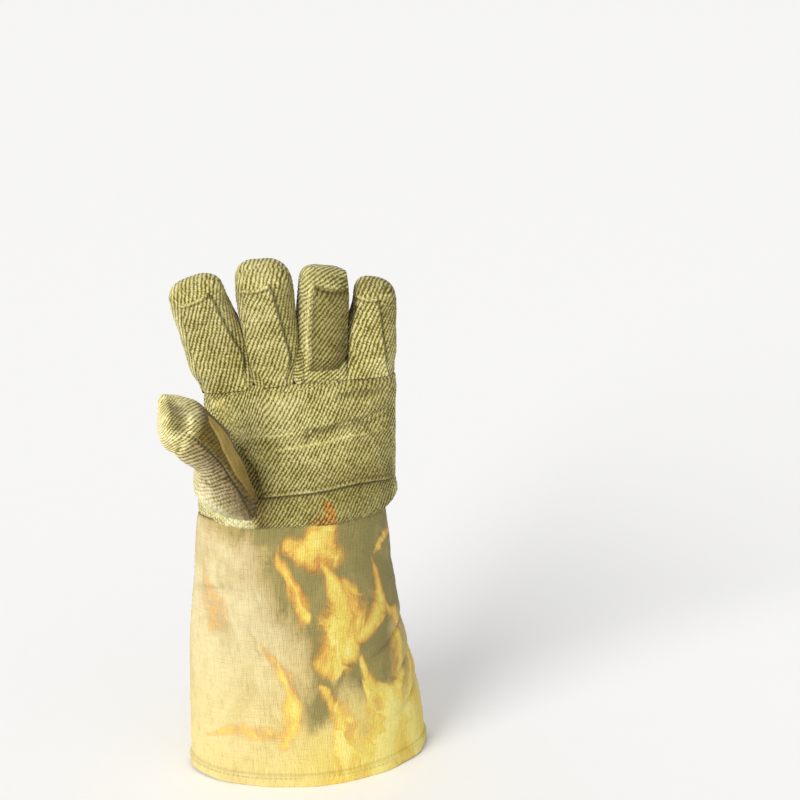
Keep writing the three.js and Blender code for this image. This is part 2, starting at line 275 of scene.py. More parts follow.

# Creases across the palm patch: depth, width, darkness of the painted shade in them, how far they smooth the
# ribs, and the line, as x and height. A crease with a depth below 0 is a ridge, and gets a painted
# highlight.
PALM_LINES = (
    (1.2, 3.0, 0.4, 0.0, ((2, 266.5), (22, 270.5), (44, 273.5), (66, 278))),
    (-0.9, 1.1, 0.0, 0.8, ((-22, 255.8), (0, 257.6), (18, 260.2), (31, 262.6), (50, 263.8), (68, 264))),
    (-0.7, 0.9, 0.0, 0.7, ((-43, 264), (-26, 265.6), (-8, 266.4))),
    (0.7, 1.1, 0.34, 0.0, ((-50, 254.2), (-43, 254.8))),
    (-0.6, 5.0, 0.0, 0.5, ((-46, 251.4), (-32, 251.6))),
    (-0.7, 5.5, 0.0, 0.6, ((-58, 288), (-50, 279), (-46, 268))),
    (0.8, 2.0, 0.3, 0.0, ((24, 291), (40, 293), (56, 293.5))),
    (0.4, 1.0, 0.18, 0.0, ((0, 256.5), (3, 262), (4, 268))),
)

# Tongues of the printed flames, round the cuff from the middle of its palm side: foot, bend and tip as
# distance round and height, half width at the foot and strength.
FLAMES = (
    ((14, 96), (50, 120), (12, 176), 20, 1.0),
    ((40, 112), (74, 132), (56, 170), 12, 0.95),
    ((2, 126), (-16, 146), (-4, 182), 9, 0.8),
    ((62, 172), (78, 184), (96, 176), 6, 0.7),
    ((4, 178), (38, 194), (21, 219), 17, 1.0),
    ((72, 62), (90, 98), (66, 138), 11, 0.9),
    ((-20, 34), (-2, 66), (-26, 112), 10, 0.6),
    ((18, 0), (38, 30), (12, 74), 18, 0.85),
    ((54, -6), (74, 34), (46, 92), 28, 1.0),
    ((90, 0), (84, 44), (104, 84), 18, 1.0),
    ((-18, 44), (-50, 50), (-84, 36), 9, 0.5),
    ((-70, 120), (-60, 142), (-76, 170), 12, 0.35),
    ((120, 30), (142, 84), (128, 150), 22, 0.9),
    ((166, 60), (150, 110), (170, 168), 16, 0.8),
    ((196, 0), (214, 60), (198, 128), 24, 0.95),
    ((244, 40), (230, 96), (250, 150), 18, 0.8),
    ((282, 10), (298, 66), (284, 120), 20, 0.85),
    ((318, 80), (306, 126), (322, 176), 14, 0.7),
)

# The pale wash under the flames: middle as distance round and height, half width, half height and strength.
WASH = (
    (-84, 90, 52, 90, 0.95),
    (-56, 66, 40, 66, 0.85),
    (-66, 150, 40, 34, 0.75),
    (-6, 12, 66, 28, 0.9),
    (62, 18, 54, 42, 1.0),
    (92, 40, 30, 50, 0.75),
    (140, 40, 40, 60, 0.85),
    (190, 90, 34, 60, 0.6),
    (230, 20, 60, 40, 0.9),
    (276, 90, 36, 74, 0.9),
)

CUFF_ROUND = 430.0  # the length round the cuff that the print is laid out on
CUFF_SPACING = 1.1  # the distance between the points of the cuff's mesh

FLOOR_REACH = 14.0  # metres from the glove to each edge of the floor


# Settings


def millimetres(name, description, default, low, high):
    """A size property in millimetres."""
    return bpy.props.FloatProperty(
        name=name, description=f"{description}, in mm", default=default, min=low, max=high)


class GloveCloth(bpy.types.PropertyGroup):
    """Sizes of the cloth and its stitches."""

    twill_pitch: millimetres("Twill Pitch", "Distance from one rib of the twill to the next", 2.45, 1.0, 6.0)
    rib_pitch: millimetres("Thumb Rib Pitch", "Distance between the thumb's ribs", 2.4, 1.0, 6.0)
    twill_height: millimetres("Twill Height", "Height of the twill's ribs", 0.3, 0.0, 1.0)
    weave_pitch: millimetres("Weave Pitch", "Distance between the cuff's threads", 1.25, 0.5, 4.0)
    unevenness: millimetres("Unevenness", "How far the cloth swells between its seams", 0.7, 0.0, 3.0)
    spacing: millimetres("Mesh Spacing", "Distance between the points of the twill's mesh", 0.75, 0.5, 3.0)
    stitch_length: bpy.props.FloatProperty(
        name="Stitch Length", description="Length of one stitch", default=0.0026, unit="LENGTH")
    stitch_pitch: bpy.props.FloatProperty(
        name="Stitch Pitch", description="Distance from one stitch to the next", default=0.0036,
        unit="LENGTH")
    thread: bpy.props.FloatProperty(
        name="Thread", description="Thickness of the sewing thread", default=0.0007, unit="LENGTH")


def paint(name, description, red, green, blue):
    """A colour property with a default given as it looks on a screen, from 0 to 255."""
    return bpy.props.FloatVectorProperty(
        name=name, description=description, subtype="COLOR", size=3, min=0.0, max=1.0,
        default=linear(red, green, blue))


def linear(red, green, blue):
    """A screen colour, from 0 to 255, as the light that it stands for."""
    values = [part / 255 for part in (red, green, blue)]
    return tuple(part / 12.92 if part < 0.04045 else ((part + 0.055) / 1.055) ** 2.4 for part in values)


class GloveColours(bpy.types.PropertyGroup):
    """Colours of the cloths, the print and the thread."""

    twill: paint("Twill", "The ribs of the faded yellow twill", 194, 184, 110)
    # The twill's highlights and valleys end its tone ramp. The ribs' height drives a painted highlight on
    # their tops and painted shade between them, besides the yarn's own tone.
    twill_light: paint("Twill Highlights", "The tops of the ribs", 236, 227, 173)
    twill_deep: paint("Twill Valleys", "The gaps between the ribs", 119, 106, 39)
    ochre: paint("Thumb Patch", "The smooth cloth on the inner side of the thumb", 140, 116, 54)
    felt: paint("Felt", "The lining", 196, 188, 160)
    cuff: paint("Cuff", "The cuff's plain cloth where the print leaves it bare", 148, 138, 84)
    tan: paint("Tan", "The edge of the print's pale wash", 184, 164, 106)
    cream: paint("Cream", "The print's pale wash", 208, 189, 138)
    pale: paint("Pale", "The palest parts of the wash", 224, 209, 160)
    ember: paint("Ember", "The darkest colour of the flames", 170, 118, 52)
    orange: paint("Orange", "The edges of the flames", 216, 150, 70)
    amber: paint("Amber", "The body of the flames", 236, 190, 90)
    yellow: paint("Yellow", "The bright parts of the flames", 246, 222, 104)
    glow: paint("Glow", "The hottest parts of the flames", 255, 240, 144)
    thread: paint("Thread", "The sewing thread", 214, 200, 134)
    floor: paint("Floor", "The stage", 255, 255, 255)


class GloveStage(bpy.types.PropertyGroup):
    """Where the camera stands and how strong the light is."""

    camera_place: bpy.props.FloatVectorProperty(
        name="Camera", description="Where the camera stands", size=3, subtype="XYZ", unit="LENGTH",
        default=(-0.0818, -1.1033, 0.6267))
    azimuth: bpy.props.FloatProperty(
        name="Azimuth", description="Turn of the camera about the glove", subtype="ANGLE",
        default=math.radians(-8))
    elevation: bpy.props.FloatProperty(
        name="Elevation", description="How far the camera looks down", subtype="ANGLE",
        default=math.radians(17))
    lens: bpy.props.FloatProperty(
        name="Lens", description="Focal length in mm on a sensor 36 mm wide", default=73.97)
    key_light: bpy.props.FloatProperty(
        name="Key Light", description="Strength of the light from the upper left", default=2.6)
    sky: bpy.props.FloatProperty(
        name="Sky", description="Strength of the even light from all sides", default=0.62)


# Shapes


def smooth_rows(table, places):
    """The columns of a table at the given places, on a smooth curve through its rows."""
    rows = np.array(table, float)
    keys, values = rows[:, 0], rows[:, 1:]
    slopes = np.gradient(values, keys, axis=0)
    places = np.asarray(places, float)
    found = np.clip(np.searchsorted(keys, places) - 1, 0, len(keys) - 2)
    span = (keys[found + 1] - keys[found])[..., None]
    share = np.clip((places - keys[found])[..., None] / span, 0, 1)
    rest = 1 - share
    low = rest**2 * ((1 + 2 * share) * values[found] + share * span * slopes[found])
    high = share**2 * ((1 + 2 * rest) * values[found + 1] - rest * span * slopes[found + 1])
    return np.moveaxis(low + high, -1, 0)


def line_value(table, places):
    """The second column of a table at the given places, on straight lines between its rows."""
    rows = np.array(table, float)
    return np.interp(places, rows[:, 0], rows[:, 1])


def step(low, high, value):
    """A soft step from 0 at `low` to 1 at `high`."""
    share = np.clip((value - low) / (high - low), 0, 1)
    return share * share * (3 - 2 * share)


def bump(distance, width):
    """A rounded ridge about a distance of 0."""
    return np.exp(-((distance / width) ** 2))


def above(value, soft):
    """The part of a value that is above 0, with a soft start."""
    return soft * np.logaddexp(0, value / soft)


def height_on(line, x):
    """The height of a straight line at x, also past its two ends."""
    (start_x, start_z), (end_x, end_z) = line
    return start_z + (end_z - start_z) * (x - start_x) / (end_x - start_x)


def rounded(angle, squareness):
    """Points of a rounded square of half width 1, seen from its middle at the given angles."""
    side, front = np.cos(angle), np.sin(angle)
    reach = (abs(side) ** squareness + abs(front) ** squareness) ** (-1 / squareness)
    return side * reach, front * reach


def knuckle_height(x):
    """The height of the knuckle seam at a place across the hand."""
    return 301 + 0.06 * x - 0.0008 * x * x


def unit(vectors):
    """The vectors' directions, each of length 1."""
    return vectors / np.maximum(np.linalg.norm(vectors, axis=-1, keepdims=True), 1e-9)


def facing(points):
    """The outward direction of a surface at each point of its grid."""
    return unit(np.cross(np.gradient(points, axis=1), np.gradient(points, axis=0)))


def lengths(points, axis):
    """The distance along a grid's rows or columns from the first point, at each point."""
    gaps = np.linalg.norm(np.diff(points, axis=axis), axis=-1)
    start = np.zeros_like(gaps[:1]) if axis == 0 else np.zeros_like(gaps[:, :1])
    return np.concatenate([start, np.cumsum(gaps, axis)], axis)


def from_middle(points):
    """The distance along a grid's rows from their middle, at each point."""
    around = lengths(points, 1)
    middle = points.shape[1] // 2
    return around - around[:, middle:middle + 1]


def gaps_over(length, spacing):
    """How many gaps of about `spacing` a length has, as a multiple of the lining's coarser ones."""
    return COARSE * int(length / spacing / COARSE)


def round_tube(degrees, radius=TUBE_RADIUS):
    """The distance round a finger or the thumb for an angle in degrees."""
    return degrees * math.radians(1) * radius


def swell(points, size, seed):
    """Soft unevenness between about -1 and 1 at points in space, with lumps about `size` wide."""
    chance = np.random.default_rng(seed)
    total = np.zeros(points.shape[:-1])
    for _ in range(8):
        heading = unit(chance.normal(size=3))
        pitch = 2 * size * chance.uniform(0.75, 1.6)
        total += np.sin(points @ heading * math.tau / pitch + chance.uniform(0, math.tau))
    return total / 4


def even_angles(count, start, end, ratio=1.0, squareness=FINGER_SQUARENESS):
    """Angles from start to end, evenly spaced along a rounded shape that is `ratio` times as wide as deep.

    Start and end are in degrees. The angles are in radians and lie in one row.
    """
    fine = np.radians(np.linspace(start, end, 2000))
    side, front = rounded(fine, squareness)
    travelled = np.r_[0, np.cumsum(np.hypot(np.diff(side * ratio), np.diff(front)))]
    return np.interp(np.linspace(0, travelled[-1], count + 1), travelled, fine)[None, :]


def line_distance(across, up, line):
    """The distance from points on a plane to a line of straight parts."""
    nearest = np.full(np.broadcast(across, up).shape, 1e6)
    for (start_x, start_y), (end_x, end_y) in zip(line, line[1:]):
        run, climb = end_x - start_x, end_y - start_y
        share = ((across - start_x) * run + (up - start_y) * climb) / (run * run + climb * climb)
        share = np.clip(share, 0, 1)
        gap = np.hypot(across - start_x - share * run, up - start_y - share * climb)
        nearest = np.minimum(nearest, gap)
    return nearest


def dent_depth(angle, height):
    """How far the sleeve's dents sink it in."""
    depth = 0
    for at, about, deep, tall, wide, slant in (*CUFF_DENTS, PALM_DENT):
        turned = (np.degrees(angle) - about + 180) % 360 - 180
        along = (height - at - slant * turned) / tall
        depth = depth + deep * np.exp(-(along**2) - (turned / wide) ** 2)
    return depth


def sleeve(x, half_width, half_depth, swing, squareness, angle, height_at, grow=0.0):
    """Points of the sleeve that the cuff and the hand make."""
    offset = grow - dent_depth(angle, height_at(x + half_width * np.cos(angle)))
    side, front = rounded(angle, squareness)
    side = side * (half_width + offset)
    front = front * (half_depth + offset)
    place = x + side
    front = front + swing * half_width * np.maximum(0, side / half_width) ** 2
    return np.stack(np.broadcast_arrays(place, front, height_at(place)), -1)


def cuff_points(height, angle, grow=0.0):
    """Points of the cuff. Its mouth lifts a little off the ground at the sides."""
    x, half_width, half_depth, swing = smooth_rows(CUFF_SECTIONS, height)
    lift = 2.6 * abs(np.cos(angle)) ** 4 * np.exp(-np.asarray(height, float) / 22)

    def height_at(place):
        return height + lift + 0 * place

    return sleeve(x, half_width, half_depth, swing, CUFF_FORM[1], angle, height_at, grow)


def hand_points(rise, angle, grow=0.0):
    """Points of the hand at shares of its rise from the wrist to the knuckles."""
    x, half_width, half_depth, swing, squareness = smooth_rows(HAND_SECTIONS, np.clip(rise, 0, 1))

    def height_at(place):
        return WRIST_HEIGHT + (knuckle_height(place) - WRIST_HEIGHT) * rise

    return sleeve(x, half_width, half_depth, swing, squareness, angle, height_at, grow)


def finger_line(name, share):
    """The middle of a finger at a share of its length, and the directions across, back and ahead."""
    x, lean, curl, length = FINGERS[name][:4]
    lean, curl = math.radians(lean), math.radians(curl)
    turned = curl * np.asarray(share, float)
    run = length * np.sin(turned) / curl
    drop = length * (1 - np.cos(turned)) / curl
    place = np.stack([
        x + math.sin(lean) * run,
        FINGER_Y - drop,
        knuckle_height(x) + math.cos(lean) * run,
    ], -1)
    ahead = np.stack([math.sin(lean) * np.cos(turned), -np.sin(turned), math.cos(lean) * np.cos(turned)], -1)
    across = np.broadcast_to([math.cos(lean), 0, -math.sin(lean)], ahead.shape)
    return place, across, np.cross(ahead, across), ahead


def finger_walls():
    """The planes between the fingers: a point on each, and its direction towards the little finger."""
    names = list(FINGERS)
    walls = []
    for left, right in zip(names, names[1:]):
        share = FINGERS[left][4] / (FINGERS[left][4] + FINGERS[right][4])
        low, high = [
            finger_line(left, at)[0] * (1 - share) + finger_line(right, at)[0] * share for at in (0, 0.45)]
        turn = math.atan2(high[0] - low[0], high[2] - low[2])
        walls.append((low, np.array([math.cos(turn), 0, -math.sin(turn)])))
    return walls


def hand_top(x):
    """The middle and the half depth of the hand at the knuckles, at a place across it."""
    _, middle, half_width, half_depth, swing, squareness = HAND_SECTIONS[-1]
    side = np.clip((x - middle) / half_width, -1, 1)
    depth = half_depth * (1 - abs(side) ** squareness) ** (1 / squareness)
    return swing * half_width * np.maximum(0, side) ** 2, depth


def finger_points(name, share, angle, grow=0.0):
    """Points of a finger: its root fills its part of the hand's top, and then it turns into a tube."""
    width, depth, taper = FINGERS[name][4:]
    share, angle = np.broadcast_arrays(np.asarray(share, float), angle)
    row_width, row_depth = smooth_rows(FINGER_SECTIONS, share)
    to_tip = np.clip((share - TIP_SHARE) / (1 - TIP_SHARE), 0, 1)
    width = width * row_width * (1 + (taper - 1) * np.maximum(0, share)) * (1 - to_tip**4) ** (1 / 3)
    depth = depth * row_depth * (1 - to_tip**4) ** (1 / 2.7)
    place, across, back, ahead = finger_line(name, share)
    side, front = rounded(angle, FINGER_SQUARENESS)
    slant, left_wider, right_wider = TIPS[name]
    near_tip = step(0.45, 0.85, share)
    side = side * (1 + near_tip * np.where(side < 0, left_wider, right_wider))
    side = side * (1 + bump(share - 0.28, 0.2) * np.where(side < 0, *FEET[name]))
    tube = place + across * (side * (width + grow))[..., None] + back * (front * (depth + grow))[..., None]
    tube = tube + ahead * (slant * step(0.6, 1.0, share) * side * (1 - to_tip**4) ** (1 / 3))[..., None]

    order = list(FINGERS).index(name)
    walls = [wall[0][0] + shift for wall, (shift, _) in zip(finger_walls(), WALL_SHIFTS)]
    edges = [KNUCKLE_EDGES[0], *walls, KNUCKLE_EDGES[1]]
    left, right = edges[order], edges[order + 1]
    side, front = rounded(angle, ROOT_SQUARENESS)
    x = (left + right) / 2 + side * ((right - left) / 2 + grow)
    middle, half_depth = hand_top(x)
    root = np.stack([x, middle + front * (half_depth + grow), knuckle_height(x) + 0 * x], -1)
    climb = finger_line(name, share)[0] - finger_line(name, 0)[0]
    blend = step(0, ROOT_SHARE, share)[..., None]
    return root * (1 - blend) + climb * (1 - blend) + tube * blend


def between_walls(name, points):
    """A finger's points kept to its own side of the planes between the fingers, with a soft edge."""
    order = list(FINGERS).index(name)
    soft = 0.25
    for number, (low, across) in enumerate(finger_walls()):
        if number not in (order - 1, order):
            continue
        shift, fade = WALL_SHIFTS[number]
        bend = shift * (1 - step(0, fade, points[..., 2] - low[2]))
        outward = 1 if number == order else -1
        past = ((points - low) @ across - bend) * outward + 0.1
        kept = -above(-past, soft)
        points = points - across * (outward * (past - kept))[..., None]
    return points


def thumb_curve():
    """The thumb's centre line as close points, with the distance travelled at each."""
    rows = np.array(THUMB_PATH, float)
    rows = np.vstack([2 * rows[0] - rows[1], rows, 2 * rows[-1] - rows[-2]])
    parts = []
    for before, start, end, after in zip(rows, rows[1:], rows[2:], rows[3:]):
        first, second, third = [math.sqrt(np.linalg.norm(b - a)) for a, b in (
            (before, start), (start, end), (end, after))]
        leaving = (start - before) / first - (end - before) / (first + second) + (end - start) / second
        arriving = (end - start) / second - (after - start) / (second + third) + (after - end) / third
        share = np.linspace(0, 1, 80, endpoint=False)[:, None]
        rest = 1 - share
        parts.append(
            rest**2 * ((1 + 2 * share) * start + share * second * leaving)
            + share**2 * ((1 + 2 * rest) * end - rest * second * arriving))
    points = np.vstack([*parts, rows[-2:-1]])
    return points, lengths(points[:, None], 0)[:, 0]


def thumb_points(share, angle, grow=0.0):
    """Points of the thumb. Its end slopes, and its foot stops at the wrist seam."""
    share, angle = np.broadcast_arrays(np.asarray(share, float), angle)
    points, travelled = thumb_curve()
    headings = np.gradient(points, travelled, axis=0)
    at = share * travelled[-1]
    place = np.stack([np.interp(at, travelled, points[:, axis]) for axis in range(3)], -1)
    ahead = unit(np.stack([np.interp(at, travelled, headings[:, axis]) for axis in range(3)], -1))
    across = unit(np.cross([0, 1, 0.25], ahead))
    back = unit(np.cross(ahead, across))
    width, depth = smooth_rows(THUMB_SECTIONS, share)
    to_tip = np.clip((share - 0.86) / 0.14, 0, 1)
    shrink = (1 - to_tip**6) ** (1 / 4)
    width = width * shrink
    depth = depth * (1 - to_tip**4) ** (1 / 2.8)
    side, front = rounded(angle, FINGER_SQUARENESS)
    narrowed = 0.34 * step(0.1, 0.36, share) * (1 - 0.3 * step(0.72, 0.9, share))
    narrowed = narrowed + 0.06 * bump(share - 0.74, 0.09)
    widened = 0.22 * bump(share - 0.44, 0.11) - 0.12 * bump(share - 0.65, 0.07)
    widened = widened - 0.02 * bump(share - 0.9, 0.08)
    side = np.where(side > 0, side * (1 - narrowed), side * (1 + widened))
    front = np.where(front > 0, front * (0.2 + 0.8 * step(0.2, 0.44, share)), front)
    slope = step(0.82, 1.0, share) * np.where(side > 0, 10.0, 9.5) * side * shrink
    moved = across * (side * (width + grow))[..., None] + back * (front * (depth + grow))[..., None]
    moved = place + moved + ahead * slope[..., None]
    floor = WRIST_HEIGHT + 1.2
    moved[..., 2] = floor + above(moved[..., 2] - floor, 1.6)
    under = above(height_on(THUMB_FOOT, moved[..., 0]) - moved[..., 2], 1.6)
    sunk = moved[..., 1] + THUMB_FOOT_SLOPE * under
    deepest = np.maximum(moved[..., 1], THUMB_FOOT_DEPTH)
    moved[..., 1] = deepest - above(deepest - sunk, 2.0)
    return moved


# Meshes


def in_metres(points):
    """Points of the tables' millimetres, in metres about the glove's origin."""
    return (points - np.array([*MIDDLE, 0.0])) * MM


class ClothMesh:
    """Gathers grids of points into one closed mesh, with a UV map of the cloth.

    Each point also carries a tint and one more number, "extra", which its material reads.
    """

    def __init__(self):
        self.points, self.cloth, self.tint, self.extra = [], [], [], []
        self.welds = []
        self.faces, self.linings = [], []
        self.count = 0

    def grid(self, points, cloth=None, tint=None, extra=None, turned=False, lining=False):
        """Adds a grid of points as faces and returns the numbers of its points.

        `cloth` is its UV map. The first three parts of `tint` are the material's to use, and the fourth is
        the painted shade of how far the point lies in a hollow, seam or crease, which darkens it.
        """
        rows, columns = points.shape[:2]
        numbers = self.count + np.arange(rows * columns).reshape(rows, columns)
        self.count += rows * columns
        self.points.append(points.reshape(-1, 3))
        self.cloth.append(np.zeros((rows * columns, 2)) if cloth is None else cloth.reshape(-1, 2))
        tint = np.broadcast_to([1.0, 1.0, 1.0, 0.0] if tint is None else tint, (rows, columns, 4))
        self.tint.append(tint.reshape(-1, 4))
        extra = np.broadcast_to(0.0 if extra is None else extra, (rows, columns))
        self.extra.append(extra.reshape(-1))
        self.welds.append(numbers.reshape(-1))
        corners = [numbers[:-1, :-1], numbers[:-1, 1:], numbers[1:, 1:], numbers[1:, :-1]]
        self.add_faces(corners, turned, lining)
        return numbers

    def add_faces(self, corners, turned, lining=False):
        """Adds faces from the numbers of their corners: four arrays of the same shape."""
        faces = np.stack([corner.reshape(-1) for corner in corners], -1)
        faces = faces[:, ::-1] if turned else faces
        self.faces.append(faces)
        self.linings.append(np.full(len(faces), bool(lining)))

    def weld(self, first, second):
        """Makes the second row of points the same as the first, with a UV map of its own."""
        welds = np.concatenate(self.welds)
        welds[np.asarray(second)] = welds[np.asarray(first)]
        self.welds = [welds]

    def join(self, fine, coarse, turned=False):
        """Fills between a row of points and one with fewer that lies beside it."""
        fine, coarse = np.asarray(fine), np.asarray(coarse)
        ratio = (len(fine) - 1) // (len(coarse) - 1)
        for offset in range(ratio):
            here = fine[offset:-1:ratio]
            following = fine[offset + 1::ratio]
            corner = coarse[:-1] if offset < (ratio + 1) // 2 else coarse[1:]
            self.add_faces([here, following, corner, corner], turned)
        middle = fine[(ratio + 1) // 2::ratio][:len(coarse) - 1]
        self.add_faces([coarse[:-1], middle, coarse[1:], coarse[1:]], turned)

    def make(self, name, materials):
        """The mesh as an object in the scene, in metres about the glove's origin."""
        points = in_metres(np.concatenate(self.points))
        welds = np.concatenate(self.welds)
        faces = np.concatenate(self.faces)
        corners = welds[faces]
        keep = corners != np.roll(corners, -1, axis=1)
        enough = keep.sum(1) >= 3
        faces, corners, keep = faces[enough], corners[enough], keep[enough]
        linings = np.concatenate(self.linings)[enough]
        loops, sources = corners[keep], faces[keep]
        used, loops = np.unique(loops, return_inverse=True)
        starts = np.r_[0, np.cumsum(keep.sum(1))[:-1]]

        mesh = bpy.data.meshes.new(name)
        mesh.vertices.add(len(used))
        mesh.vertices.foreach_set("co", points[used].astype(np.float32).ravel())
        mesh.loops.add(len(loops))
        mesh.loops.foreach_set("vertex_index", loops.astype(np.int32).ravel())
        mesh.polygons.add(len(starts))
        mesh.polygons.foreach_set("loop_start", starts.astype(np.int32))
        mesh.polygons.foreach_set("material_index", linings.astype(np.int32))
        mesh.update(calc_edges=True)
        mesh.polygons.foreach_set("use_smooth", np.ones(len(starts), bool))
        layer = mesh.uv_layers.new(name="cloth")
        layer.data.foreach_set("uv", np.concatenate(self.cloth)[sources].astype(np.float32).ravel())
        tint = mesh.attributes.new("tint", "FLOAT_COLOR", "POINT")
        tint.data.foreach_set("color", np.concatenate(self.tint)[used].astype(np.float32).ravel())
        extra = mesh.attributes.new("extra", "FLOAT", "POINT")
        extra.data.foreach_set("value", np.concatenate(self.extra)[used].astype(np.float32))
        if mesh.validate():
            raise ValueError(f"the mesh of {name} has faults")
        for material in materials:
            mesh.materials.append(material)
        made = bpy.data.objects.new(name, mesh)
        bpy.context.scene.collection.objects.link(made)
        return made


def laid_cloth(points, middle, angle, pitch, start=0.0, around=None):
    """A UV map for a panel of twill: U counts ribs and V is the distance along them.

    Distances run from the column `middle`. `angle` is the ribs' angle above the horizontal in degrees, and
    `around` the distance round the panel, where it isn't measured on the points.
    """
    if around is None:
        around = lengths(points, 1)
        around = around - around[:, middle:middle + 1]
    up = lengths(points, 0)[:, middle:middle + 1] + 0 * around + start
    turn = math.radians(angle)
    across = around * math.sin(turn) - up * math.cos(turn)
    along = around * math.cos(turn) + up * math.sin(turn)
    return np.stack([across / pitch, along], -1)


def rib_height(cloth):
    """The height of the twill's ribs about their middle, from a UV map that counts ribs."""
    return abs(np.sin(math.pi * cloth[..., 0])) ** 1.2 - 0.5


def even_ribs(points, cloth, pitch):
    """1 where a UV map keeps the ribs' spacing, and 0 where it spreads them out or crowds them."""
    slopes = []
    for axis in (0, 1):
        gaps = np.gradient(lengths(points, axis), axis=axis)
        slopes.append(np.gradient(cloth[..., 0], axis=axis) / np.maximum(gaps, 0.02))
    density = np.hypot(*slopes) * pitch
    return step(0.25, 0.6, density) * (1 - step(1.9, 2.8, density))


def shade(shape, painted_shade=0.0, colour=(1.0, 1.0, 1.0), amount=1.0):
    """A tint for a grid: a colour that multiplies the cloth's, by amount, and the painted shade of each
    point's hollows and creases.
    """
    tint = np.ones((*shape, 4))
    amount = np.broadcast_to(amount, shape)[..., None]
    tint[..., :3] = 1 + (np.array(colour) - 1) * amount
    tint[..., 3] = np.clip(np.broadcast_to(painted_shade, shape), 0, 1)
    return tint


def close_tube(mesh, front, back, closed_tip):
    """Joins the front and back of a tube at both sides, and at its tip."""
    mesh.weld(front[:, -1], back[:, 0])
    mesh.weld(front[:, 0], back[:, -1])
    if closed_tip:
        for rows in (front, back):
            mesh.weld(np.full(rows.shape[1], front[-1, 0]), rows[-1])


def cloth_tube(panel, lining, closed_tip=False):
    """A tube's two outer panels and its lining as one closed shell.

    `panel` gives the grid of a panel between two angles, and `lining` the points behind it, in as many
    columns as it is asked for. The tube is open at its foot, and at its top too unless it has a tip.
    """
    mesh = ClothMesh()
    panels = [mesh.grid(*panel(start, end)) for start, end in FRONT_AND_BACK]
    close_tube(mesh, *panels, closed_tip)
    columns = (panels[0].shape[1] - 1) // COARSE
    linings = [
        mesh.grid(lining(columns, start, end), turned=True, lining=True) for start, end in FRONT_AND_BACK]
    close_tube(mesh, *linings, closed_tip)
    for outer, inner in zip(panels, linings):
        mesh.join(outer[0], inner[0], turned=True)
        if not closed_tip:
            mesh.join(outer[-1], inner[-1])
    return mesh


def darken(tint, amount, *shares):
    """Takes shares of red, green and blue off a tint, by an amount at each point. Below 0 they brighten."""
    tint[..., :3] *= 1 - amount[..., None] * np.array(shares)


def add_back(mesh, outer, points):
    """Closes a patch: adds its coarse inner face and joins the two all round."""
    inner = mesh.grid(points, turned=True)
    mesh.join(outer[0], inner[0], turned=True)
    mesh.join(outer[-1], inner[-1])
    mesh.join(outer[:, 0], inner[:, 0])
    mesh.join(outer[:, -1], inner[:, -1], turned=True)


# Materials

# The outputs of the node that reads an attribute of the mesh.
COLOUR = 0
NUMBER = 2
ALPHA = 3

OBJECT_PLACE = 3  # the output of the Texture Coordinate node that gives places on the object

# Colours that the cloths are mixed with: painted shade in the twill's and the print's hollows, painted shade
# between the cuff's threads mixed with its thin yarn, and the cloths' own blotches and rubbed tone.
TWILL_PAINTED_SHADE = linear(62, 52, 16)
PRINT_PAINTED_SHADE = linear(74, 62, 24)
BETWEEN_THREADS = linear(160, 140, 86)
BLOTCHES = linear(172, 150, 96)
RUBBED = linear(182, 158, 96)


class Number:
    """A number on a shader socket. Arithmetic on it adds Math nodes."""

    def __init__(self, recipe, socket):
        self.recipe = recipe
        self.socket = socket

    def math(self, operation, *others):
        """The result of a Math node of that kind."""
        return self.recipe.node("ShaderNodeMath", {"operation": operation}, (self, *others))

    def __add__(self, other):
        return self.math("ADD", other)

    def __sub__(self, other):
        return self.math("SUBTRACT", other)

    def __mul__(self, other):
        return self.math("MULTIPLY", other)

    def __truediv__(self, other):
        return self.math("DIVIDE", other)

    def __rsub__(self, other):
        return self.recipe.node("ShaderNodeMath", {"operation": "SUBTRACT"}, (other, self))

    __radd__ = __add__
    __rmul__ = __mul__

    def between(self, low, high):
        """0 at `low` and 1 at `high`, held to that range."""
        values = {"Value": self, "From Min": low, "From Max": high}
        return self.recipe.node("ShaderNodeMapRange", {"clamp": True}, values)


